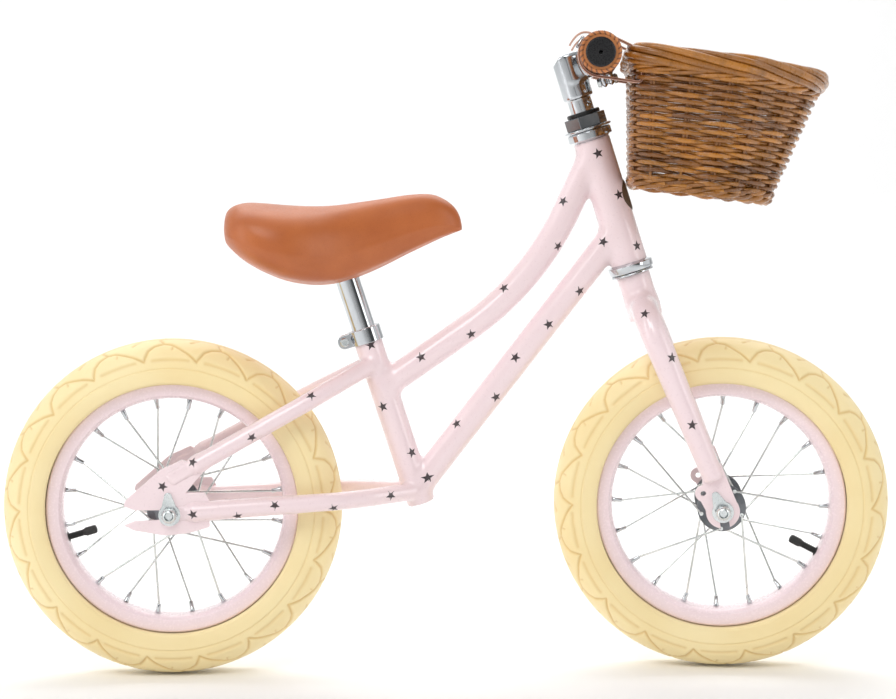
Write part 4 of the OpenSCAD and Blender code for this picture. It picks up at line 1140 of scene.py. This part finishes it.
willow_tree.links.new(run_read.outputs["Fac"], along_strand.inputs["X"])
streak = noise(willow_tree, 42.0, 4.0, 0.65, along_strand.outputs["Vector"])
streak_colour = blended(willow_tree, spread(willow_tree, streak, 0.50, 0.72, 0.0, 0.6),
                        mixed.outputs[2], (0.06, 0.02, 0.006))
bark = noise(willow_tree, 900.0, 3.0, 0.6)
willow_tree.links.new(streak_colour, willow_tree.nodes["Principled BSDF"].inputs["Base Color"])
bumped(willow, bark, 0.3, 0.14)


def d_outline(w, d, count=720):
    """Even points round the flat-backed, round-fronted outline, starting mid back."""
    circles = [((22, w / 2 - 22), 22), ((22, 22 - w / 2), 22), ((d - 0.42 * w, 0), 0.42 * w),
               ((0.52 * d, w / 2 - 30), 30), ((0.52 * d, 30 - w / 2), 30)]
    ring = []
    for a in np.linspace(-math.pi, math.pi, 721)[:-1]:
        n = np.array([math.cos(a), math.sin(a)])
        c, r = max(circles, key=lambda o: np.dot(o[0], n) + o[1])
        ring.append(np.array(c) + r * n)
    ring = np.array(ring + [ring[0]])
    steps = np.concatenate([[0], np.cumsum(np.linalg.norm(np.diff(ring, axis=0), axis=1))])
    start = np.interp(0, ring[:40, 1][::-1] if ring[0, 1] > ring[39, 1] else ring[:40, 1],
                      steps[:40][::-1] if ring[0, 1] > ring[39, 1] else steps[:40])
    s = (start + np.arange(count) / count * steps[-1]) % steps[-1]
    return np.stack([np.interp(s, steps, ring[:, 0]), np.interp(s, steps, ring[:, 1])], 1)


def wall_at(z, inset=0.0, count=720):
    """The wall's outline at height z below the rim, as points with their outward normals."""
    u = np.clip((-z - 20) / 108, -0.19, 1.0)
    w = 208 + (150 - 208) * u - 2 * inset
    d = 174 + (128 - 174) * u - 2 * inset
    ring = d_outline(w, d, count) + [9 + 14 * u + inset, 0]
    ahead = np.roll(ring, -1, 0) - np.roll(ring, 1, 0)
    normal = np.stack([ahead[:, 1], -ahead[:, 0]], 1)
    return ring, normal / np.linalg.norm(normal, axis=1)[:, None]


rng = np.random.default_rng(7)
weave = []
PER_STAKE = 8
count = STAKES * PER_STAKE
turn = np.arange(count) / PER_STAKE
foot_z, top_z = -119.0, -24.0
for row in range(ROWS):
    z = foot_z + (top_z - foot_z) * row / (ROWS - 1)
    ring, normal = wall_at(z, 3.6, count)
    way = np.cos(math.pi * (turn + row))
    flat = np.sign(way) * np.abs(way) ** 0.62
    lift = 0.35 * np.sin(turn * 2.1 + row * 1.7) + rng.normal(0, 0.12, count)
    out = ring + normal * (2.75 * flat + rng.normal(0, 0.06, count))[:, None]
    thick = 1.62 + 0.62 * np.abs(way) ** 1.4 + 0.1 * math.sin(row * 2.4)
    lean = 0.55 * way * math.sin(row * 12.9898 + 0.4)
    path = np.column_stack([out, np.full(count, z) + lift + lean])
    path = np.vstack([path, path[0] + [0.0, 0.0, 0.6]])
    cut = [0] + sorted(rng.choice(np.arange(10, count - 10), 3, replace=False).tolist()) + [count]
    radii = np.append(thick, thick[0])
    for a, b in zip(cut[:-1], cut[1:]):
        weave.append((path[a:b + 1], radii[a:b + 1], float(rng.uniform(0, 1))))
fitted(strands("willow_weave", weave, willow, 8, BASKET), "handlebar_set", "willow", "basket")

stakes = []
for i in range(STAKES):
    path = []
    for z in np.linspace(-124, -14, 12):
        ring, normal = wall_at(z, 3.6, count)
        path.append([*ring[i * PER_STAKE], z])
    stakes.append((path, 1.75, float(rng.uniform(0.1, 0.6))))
    ring, normal = wall_at(-60, 3.6, count)
    side = np.array([-normal[i * PER_STAKE][1], normal[i * PER_STAKE][0], 0]) * 2.6
    stakes.append((np.array(path) + side, 1.35, float(rng.uniform(0.1, 0.6))))

# Twisted waling under the border and at the foot
for base, strand_r, plies, twists in ((-122.0, 2.1, 3, 9), (-117.0, 1.9, 3, 9), (-21.5, 2.0, 3, 9)):
    a = np.linspace(0, 1, 361)
    for ply in range(plies):
        ring, normal = wall_at(base, 3.4, 360)
        ring, normal = np.vstack([ring, ring[:1]]), np.vstack([normal, normal[:1]])
        w = 2 * math.pi * (twists * a + ply / plies)
        path = np.column_stack([ring + normal * (3.3 * np.cos(w))[:, None], base + 1.9 * np.sin(w)])
        stakes.append((path, strand_r, float(rng.uniform(0.1, 0.9))))

# Stake ends turned along the foot and crossed
for i in range(STAKES):
    ring, normal = wall_at(-124, 3.4, 360)
    path = []
    for u in np.linspace(0, 1, 9):
        k = int((i + u * 1.55) * 360 / STAKES) % 360
        out = ring[k] + normal[k] * (-3.2 + 7.6 * u)
        path.append([*out, -120.5 - 5.2 * math.sin(math.pi * min(1, u * 1.1)) + 1.2 * u])
    stakes.append((path, [2.0] * 8 + [1.8], float(rng.uniform(0.2, 1.0))))

# Woven floor of straight rods over cross rods
for k in range(31):
    y = (k - 15) * 4.3
    ring, _ = wall_at(-122, 6.5, 360)
    inside = ring[np.abs(ring[:, 1] - y) < 3.0]
    if len(inside) < 2:
        continue
    x0, x1 = inside[:, 0].min(), inside[:, 0].max()
    xs = np.linspace(x0, x1, 26)
    path = np.column_stack([xs, np.full(26, y), -121.0 + 1.5 * np.cos(math.pi * (xs - 23) / 16 + math.pi * k)])
    stakes.append((path, 2.0, float(rng.uniform(0, 0.9))))
for x in np.arange(31, 148, 16.0):
    ring, _ = wall_at(-122, 6.5, 360)
    inside = ring[np.abs(ring[:, 0] - x) < 2.0]
    if len(inside) >= 2:
        stakes.append(([(x, inside[:, 1].min(), -121), (x, 0, -121), (x, inside[:, 1].max(), -121)], 1.9, 0.4))
fitted(strands("willow_stakes_and_floor", stakes, willow, 8, BASKET), "handlebar_set", "willow")

# Wrapped border of thick rods round two core rods
border = []
BORDER_Z, BORDER_PLIES = -10.6, 7
ring = d_outline(204, 172, 540) + [10, 0]
ahead = np.roll(ring, -1, 0) - np.roll(ring, 1, 0)
normal = np.stack([ahead[:, 1], -ahead[:, 0]], 1)
normal /= np.linalg.norm(normal, axis=1)[:, None]
ring, normal = np.vstack([ring, ring[:1]]), np.vstack([normal, normal[:1]])
a = np.linspace(0, 1, 541)
for ply in range(BORDER_PLIES):
    w = -2 * math.pi * (2 * a + ply / BORDER_PLIES)
    squash = 1 + 0.06 * np.sin(2 * math.pi * (5 * a + ply * 0.37))
    path = np.column_stack([ring + normal * (5.9 * squash * np.cos(w))[:, None],
                            BORDER_Z + 7.1 * squash * np.sin(w)])
    radii = 3.15 + 0.35 * np.sin(2 * math.pi * (2 * a + ply * 0.61))
    border.append((path[::2], radii[::2], float(rng.uniform(0.25, 1.0))))
# The two core rods get the darkest fixed tint: painted shade in the gaps between the wrapped plies.
for dz in (-3.5, 3.5):
    border.append((np.column_stack([ring, np.full(541, BORDER_Z + dz)])[::3], 4.2, 0.1))
fitted(strands("willow_border", border, willow, 12, BASKET), "handlebar_set", "willow")

# ---- Straps and buckles -------------------------------------------------
# Two pale leather straps, each looped round a grip and through the basket's
# back, with darker burnished edges, a row of stitches each side, and a small
# plated buckle whose free end is tucked forwards.

pale_leather = leather("pale_leather", (0.52, 0.30, 0.23), (0.66, 0.42, 0.33), (0.48, 0.62), 1100.0, 0.1)
STRAP_Y, STRAP_T, LOOP_STEPS = 88.0, 2.3, 240


def strap_loop(inner):
    """Closed loop round the grip and round a bar in the basket's back, as X-Z points."""
    circles = [((0, 0), 17.7 + inner), ((33, 1), 2.5 + inner), ((33, -20), 2.5 + inner)]
    loop = []
    for a in np.linspace(0, 2 * math.pi, LOOP_STEPS, endpoint=False):
        n = np.array([math.cos(a), math.sin(a)])
        c, r = max(circles, key=lambda o: np.dot(o[0], n) + o[1])
        loop.append(np.array(c) + r * n)
    return np.array(loop)


for side, s in (("right", -1), ("left", 1)):
    band_rows = []
    for depth, across in ((0.0, -6.1), (0.0, 6.1), (0.5, 6.5), (STRAP_T - 0.5, 6.5), (STRAP_T, 6.0),
                          (STRAP_T - 0.12, 5.0),
                          (STRAP_T, 4.0), (STRAP_T + 0.05, 0.0), (STRAP_T, -4.0), (STRAP_T - 0.12, -5.0),
                          (STRAP_T, -6.0), (STRAP_T - 0.5, -6.5), (0.5, -6.5)):
        loop = strap_loop(depth)
        band_rows.append(np.column_stack([loop[:, 0], np.full(LOOP_STEPS, s * STRAP_Y + across), loop[:, 1]]))
    faces = ring_faces(len(band_rows), LOOP_STEPS)
    band = solid_piece(f"strap_band_{side}", np.concatenate(band_rows), faces, pale_leather, BAR, 50.0)
    edges_and_thread = []
    for across in (-6.45, 6.45):
        loop = strap_loop(STRAP_T / 2)
        line = np.column_stack([loop[:, 0], np.full(LOOP_STEPS, s * STRAP_Y + across), loop[:, 1]])
        edges_and_thread.append((np.vstack([line, line[:1]]), 0.62, 0.2))
    loop = strap_loop(STRAP_T + 0.02)
    for across in (-4.7, 4.7):
        for k in range(0, 238, 4):
            a, b = loop[k], loop[k + 2]
            if np.linalg.norm(a - b) > 0.4:
                y = s * STRAP_Y + across
                edges_and_thread.append(([(a[0], y, a[1]), ((a[0] + b[0]) / 2, y, (a[1] + b[1]) / 2),
                                          (b[0], y, b[1])], [0.12, 0.3, 0.12], 0.8))
    thread = strands(f"strap_edges_{side}", edges_and_thread, dark_lace, 5, BAR)
    tail_points = np.array([np.array([-8, 19.4]) * (1 - u) ** 2 + 2 * u * (1 - u) * np.array([-20, 24])
                            + u ** 2 * np.array([-28, 8]) for u in np.linspace(0, 1, 14)])
    heading = np.gradient(tail_points, axis=0)
    heading /= np.linalg.norm(heading, axis=1)[:, None]
    out = np.stack([heading[:, 1], -heading[:, 0]], 1)
    rows = []
    half = np.array([5.2] * 10 + [4.9, 4.2, 3.0, 1.2])
    for depth, across in ((0, -1), (0, 1), (1.6, 1), (1.6, -1)):
        rows.append(np.column_stack([tail_points[:, 0] - out[:, 0] * depth, s * STRAP_Y + across * half,
                                     tail_points[:, 1] - out[:, 1] * depth]))
    faces = [(i * 14 + k, i * 14 + k + 1, (i + 1) % 4 * 14 + k + 1, (i + 1) % 4 * 14 + k)
             for i in range(4) for k in range(13)]
    faces += [(0, 14, 28, 42), (13, 55, 41, 27)]
    tail = solid_piece(f"strap_tail_{side}", np.concatenate(rows), faces, pale_leather, BAR, 50.0, 0.3)
    strap = joined(f"leather_strap_{side}", [band, thread, tail])
    fitted(strap, "handlebar_set", "pale_leather", *(["basket_straps"] if s < 0 else []))

buckles = []
for s in (-1, 1):
    at = BAR @ turned_by(-58, "Y") @ moved(0, s * STRAP_Y, 17.7 + STRAP_T)
    frame_line = [(-5, -9, 1), (5, -9, 1), (5, 9, 1), (-5, 9, 1), (-5, -9, 1)]
    rounded_line = []
    for a, b in zip(frame_line[:-1], frame_line[1:]):
        a, b = np.array(a, float), np.array(b, float)
        way = (b - a) / np.linalg.norm(b - a)
        rounded_line += [a + 1.6 * way, b - 1.6 * way]
    rounded_line.append(rounded_line[0])
    buckles.append(strands(f"buckle_{s}", [(rounded_line, 1.05, 0.5),
                                           ([(-5, 0, 1.3), (0, 0, 2.2), (5.4, 0, 1.9)], 0.8, 0.5),
                                           ([(-5, -8.6, 1.0), (-5, 8.6, 1.0)], 1.2, 0.5)], chrome, 10, at))
fitted(joined("strap_buckle_frames", buckles), "handlebar_set", "chrome_steel", "strap_buckles")

# ---- Seat post and clamp ------------------------------------------------
# A chromed post slides in the seat tube and is held by a split steel band
# with two ears and a socket screw. Under the saddle a black clamp and a
# moulded base carry the cover.

fitted(turned_piece("chromed_post", [(9.6, 45), (11.1, 45), (11.1, 120), (11.1, 221), (10.4, 222), (0, 222),
                                     (0, 218), (9.6, 217)],
                    chrome, SEAT, 56, "Z", True, 0.3), "saddle_set", "chrome_steel", "seat_post")
band = []
half_gap = math.radians(7)
sweep_round = np.linspace(math.pi + half_gap, 3 * math.pi - half_gap, 80)
for r, h in ((13.05, 158), (15.2, 158), (15.2, 172), (13.05, 172)):
    band.append(np.stack([r * np.cos(sweep_round), r * np.sin(sweep_round), np.full(80, float(h))], 1))
faces = [(i * 80 + k, i * 80 + k + 1, (i + 1) % 4 * 80 + k + 1, (i + 1) % 4 * 80 + k)
         for i in range(4) for k in range(79)]
faces += [(0, 80, 160, 240), (79, 319, 239, 159)]
clamp_parts = [solid_piece("clamp_band", np.concatenate(band), faces, chrome, SEAT, 30.0, 0.6)]
for s in (-1, 1):
    outline = [(-13.0, 158.5), (-20, 158.5), *arc_points((-20.5, 165), 6.5, 270, 90, 12), (-13.0, 171.5)]
    clamp_parts.append(plate(f"clamp_ear_{s}", outline, [round_hole((-20.5, 165), 2.7, 20)],
                             1.6 if s > 0 else -5.4, 3.8, chrome, SEAT, 0.6))
fitted(joined("seat_clamp_band", clamp_parts), "frame", "chrome_steel", "seat_clamp")
BOLT = SEAT @ moved(-20.5, 0, 165) @ turned_by(90, "X")
bolt_parts = [turned_piece("clamp_screw", [(0, -9), (2.5, -9), (2.5, 5.4), (4.1, 5.5), (4.2, 8.3), (3.6, 9),
                                           (2.1, 9), (2.1, 7), (0, 7)],
                           zinc_steel, BOLT, 32, "Z", False, 0.0),
              hex_nut("clamp_nut", 7.8, -9.5, -5.5, 2.5, zinc_steel, BOLT, 15)]
fitted(joined("seat_clamp_screw", bolt_parts), "frame", "zinc_steel", "seat_clamp_bolt")
fitted(turned_piece("saddle_clamp_drum", [(11.2, 221.5), (12.4, 221.5), (13, 222.2), (13, 224.5), (12.5, 225),
                                          (12.5, 227), (13, 227.5), (13, 230), (12.4, 231), (11.2, 231)],
                    black_plastic, SEAT, 56, "Z", True, 0.3),
       "saddle_set", "black_plastic", "saddle_clamp")
base_rows = []
for x0, x1, y0, y1, z0, z1 in ((-165, -118, 40, 36, 374, 384), (-119, -77, 34, 14, 376, 384),
                               (-78, -62, 12, 9, 382, 387)):
    box_points = [(x, yy, z) for z in (z0, z1) for x, yy in ((x0, -y0), (x1, -y1), (x1, y1), (x0, y0))]
    base_rows.append(solid_piece("base_slab", box_points,
                                 [(0, 1, 2, 3), (4, 5, 6, 7), (0, 1, 5, 4),
                                  (1, 2, 6, 5), (2, 3, 7, 6), (3, 0, 4, 7)],
                                 black_plastic, IN_PLACE, 30.0, 2.0))
fitted(joined("moulded_saddle_base", base_rows), "saddle_set", "black_plastic", "saddle_base")

# ---- Padded saddle ------------------------------------------------------
# A wide-backed child's saddle: foam under a smooth, tan, stretched cover that
# is pulled under a plastic base, with the welt where top and skirt meet.

saddle_leather = leather("saddle_leather", (0.44, 0.112, 0.025), (0.53, 0.148, 0.036),
                         (0.36, 0.5), 1400.0, 0.07)
STATIONS = np.array([
    (-206, 408, 418, 14), (-203.5, 398, 428, 38), (-197, 390, 434, 54), (-186, 381, 437, 64),
    (-170, 372, 436.8, 70), (-150, 364, 435.4, 70), (-128, 360, 434.6, 62), (-108, 360.5, 435.2, 50),
    (-86, 366, 437.8, 40), (-62, 376, 441, 32), (-38, 388, 444.3, 26), (-18, 397.5, 444.8, 22),
    (-6, 403, 441, 18.5), (4, 407, 434, 14), (9.5, 409, 426, 10), (12, 411, 417, 5)])


def smooth_station(u):
    """Catmull-Rom values between the saddle's stations; u counts stations."""
    i = int(min(max(math.floor(u), 0), len(STATIONS) - 2))
    t = u - i
    p = [STATIONS[min(max(i + k, 0), len(STATIONS) - 1)] for k in (-1, 0, 1, 2)]
    return 0.5 * (2 * p[1] + (p[2] - p[0]) * t + (2 * p[0] - 5 * p[1] + 4 * p[2] - p[3]) * t ** 2
                  + (3 * p[1] - p[0] - 3 * p[2] + p[3]) * t ** 3)


rings, AROUND, LENGTHS = [], 96, 110
for u in np.linspace(0, len(STATIONS) - 1, LENGTHS):
    x, low, high, half = smooth_station(u)
    mid = low + (high - low) * 0.42
    ring = []
    for k in range(AROUND):
        a = 2 * math.pi * k / AROUND
        c, sn = math.cos(a), math.sin(a)
        y = half * math.copysign(abs(c) ** 0.8, c)
        if sn >= 0:
            z = mid + (high - mid) * sn ** 0.85
            z -= 2.2 * math.exp(-(y / (0.22 * half + 2)) ** 2) * math.exp(-((x + 110) / 70) ** 2)
        else:
            z = mid - (mid - low) * (-sn) ** 0.85
            z += 2.0 * math.exp(-((-sn - 0.93) / 0.1) ** 2)
        welt = 0.55 * math.exp(-((z - mid + 3.0) / 1.2) ** 2)
        ring.append((x, y * (1 + welt / max(half, 8)), z))
    rings.append(ring)
points = [p for ring in rings for p in ring]
faces = ring_faces(LENGTHS, AROUND)[:(LENGTHS - 1) * AROUND]
back, nose = len(points), len(points) + 1
points += [(-206.4, 0, 413), (12.4, 0, 414)]
faces += [(back, (k + 1) % AROUND, k) for k in range(AROUND)]
last = (LENGTHS - 1) * AROUND
faces += [(nose, last + k, last + (k + 1) % AROUND) for k in range(AROUND)]
saddle = solid_piece("padded_saddle", points, faces, saddle_leather, IN_PLACE, 70.0)
fitted(saddle, "saddle_set", "saddle_leather", "saddle_cover")

# ---- Badge and stars ----------------------------------------------------
# A plain round leather badge glued to the head tube, and little dark stars
# printed over the paint on every tube and both fork legs.

brown_leather = leather("brown_leather", (0.075, 0.042, 0.022), (0.12, 0.068, 0.034), (0.45, 0.6), 1000.0, 0.12)
badge_points, badge_faces = [], []
RADIAL, ROUND, BADGE_R, BADGE_H = 9, 56, 15.0, 62.0
for i in range(RADIAL + 1):
    rho = BADGE_R * i / RADIAL
    for k in range(ROUND):
        a = 2 * math.pi * k / ROUND
        y, h = rho * math.cos(a), BADGE_H + rho * math.sin(a)
        lift = HEAD_R + 0.02 + 1.1 * (1 - max(0.0, (i - RADIAL + 1)) ** 2 * 0.9)
        lift -= 0.35 * math.exp(-((rho - 13.2) / 0.7) ** 2)
        swing = y / HEAD_R
        badge_points.append((lift * math.cos(swing), lift * math.sin(swing), h))
badge_faces = [(i * ROUND + k, (i + 1) * ROUND + k,
                (i + 1) * ROUND + (k + 1) % ROUND, i * ROUND + (k + 1) % ROUND)
               for i in range(RADIAL) for k in range(ROUND)]
rim_ring = [(16.6 * math.cos(BADGE_R * math.cos(a) / HEAD_R), 16.6 * math.sin(BADGE_R * math.cos(a) / HEAD_R),
             BADGE_H + BADGE_R * math.sin(a)) for a in np.linspace(0, 2 * math.pi, ROUND, endpoint=False)]
start = len(badge_points)
badge_points += rim_ring
badge_faces += [(RADIAL * ROUND + k, start + k, start + (k + 1) % ROUND, RADIAL * ROUND + (k + 1) % ROUND)
                for k in range(ROUND)]
badge_faces.append(tuple(start + k for k in range(ROUND)))
badge = solid_piece("leather_badge", badge_points, badge_faces, brown_leather, HEAD, 50.0)
fitted(badge, "frame", "brown_leather", "head_badge")

star_ink = plain("star_ink", (0.045, 0.028, 0.032), 0.4, Coat_Weight=0.4, Coat_Roughness=0.12)
clouded(star_ink, (0.035, 0.022, 0.026), (0.06, 0.04, 0.044), (0.32, 0.48), 80.0, 900.0)
star_rng = np.random.default_rng(11)
STAR_R, SMALL_STAR_R = 5.2, 4.9


def star_on(base, along, across, out, size, distance, spin):
    """A five-pointed star laid on the surface that distance describes."""
    tips = []
    for k in range(10):
        r = size * (1.0 if k % 2 == 0 else 0.42)
        a = spin + math.pi * k / 5
        tips.append(r * (math.cos(a) * across + math.sin(a) * along))
    flat = [np.zeros(3)] + [0.5 * t for t in tips] + tips
    laid = np.array([base + q for q in flat])
    for _ in range(8):
        laid -= (distance(laid) - 0.12)[:, None] * out
    faces = [(0, 1 + k, 1 + (k + 1) % 10) for k in range(10)]
    faces += [(1 + k, 11 + k, 11 + (k + 1) % 10, 1 + (k + 1) % 10) for k in range(10)]
    return laid, faces


def printed_stars(distance, tubes, size):
    """Stars on both sides of tubes; each is placed by its distance along and its turn round."""
    found = []
    for foot, way, radius, spots in tubes:
        foot, along = np.array(foot, float), np.array(way, float)
        along /= np.linalg.norm(along)
        upward = np.cross(along, [0.0, 1.0, 0.0])
        upward /= np.linalg.norm(upward)
        for reach, turn in spots:
            angle = math.radians(turn)
            out = math.sin(angle) * upward - math.cos(angle) * np.array([0.0, 1.0, 0.0])
            out -= along * (along @ out)
            out /= np.linalg.norm(out)
            laid, faces = star_on(foot + reach * along + radius * out, along, np.cross(along, out), out, size,
                                  distance, math.radians(75 + 30 * star_rng.random()))
            found += [(laid, faces), (laid * [1, -1, 1], [f[::-1] for f in faces])]
    return found


def star_sheet(name, found, at, body):
    points, faces = [], []
    for laid, tri in found:
        base = sum(len(p) for p in points)
        points.append(laid)
        faces += [tuple(base + i for i in f) for f in tri]
    mesh = bpy.data.meshes.new(name)
    mesh.from_pydata([tuple(p) for p in placed(np.concatenate(points), at)], [], faces)
    mesh.shade_smooth()
    obj = bpy.data.objects.new(name, mesh)
    scene.collection.objects.link(obj)
    obj.data.materials.append(star_ink)
    fitted(obj, body, "frame_paint")


def on_arc(degrees):
    """A point on the top tube's bend, and the tube's heading there."""
    lean = TOP_LEAN + math.radians(degrees)
    return (arc_centre + TOP_ARC_R * np.array([math.sin(lean), 0, -math.cos(lean)]),
            (math.cos(lean), 0, math.sin(lean)))


stay_lines = [(np.array(path[1], float), np.array(path[2], float) - np.array(path[1], float))
              for path in (CHAIN_STAY, SEAT_STAY)]
frame_stars = printed_stars(frame_distance, [
    (head_foot, head_way, HEAD_R, [(15, -35), (65, -26), (107, 0)]),
    (DOWN_FOOT, down_way, TUBE_R, [(30, 44), (72, -22), (112, 18), (155, -8), (197, -27), (246, 25)]),
    (TOP_FOOT, top_back, TUBE_R, [(46, 17), (96, -26)]),
    (*on_arc(10.6), TUBE_R, [(0, 38)]), (*on_arc(23.6), TUBE_R, [(0, -38)]),
    (arc_end, top_ahead, TUBE_R, [(6.5, 38)]),
    (seat_foot, seat_way, SEAT_TUBE_R, [(22, -45), (49, -29), (98, 27), (156, -7)])], STAR_R)
frame_stars += printed_stars(frame_distance, [
    (*stay_lines[0], 9, [(-34, 5), (20, 40), (73, -12), (107, 42), (147, 8)]),
    (*stay_lines[1], 9, [(2, -40), (67, 17), (124, -35)])], SMALL_STAR_R)
frame_stars += printed_stars(lambda p: np.abs(p[:, 1]) - REAR_PLATE_Y,
                             [((-261, 0, 182), (1, 0, 0), REAR_PLATE_Y, [(0, 0)])], SMALL_STAR_R)
star_sheet("frame_stars", frame_stars, IN_PLACE, "frame")

leg_top = ELBOW + np.array([0, -PLATE_Y, 0])
fork_stars = printed_stars(fork_distance, [
    (leg_top, leg_down, 12, [(13, 34), (77, 3)]),
    (ELBOW + np.array([-1.0, 35.0 - PLATE_Y, 0]), leg_ahead, 47.5, [(0, 43)])], STAR_R)
star_sheet("fork_stars", fork_stars, STEER, "fork")
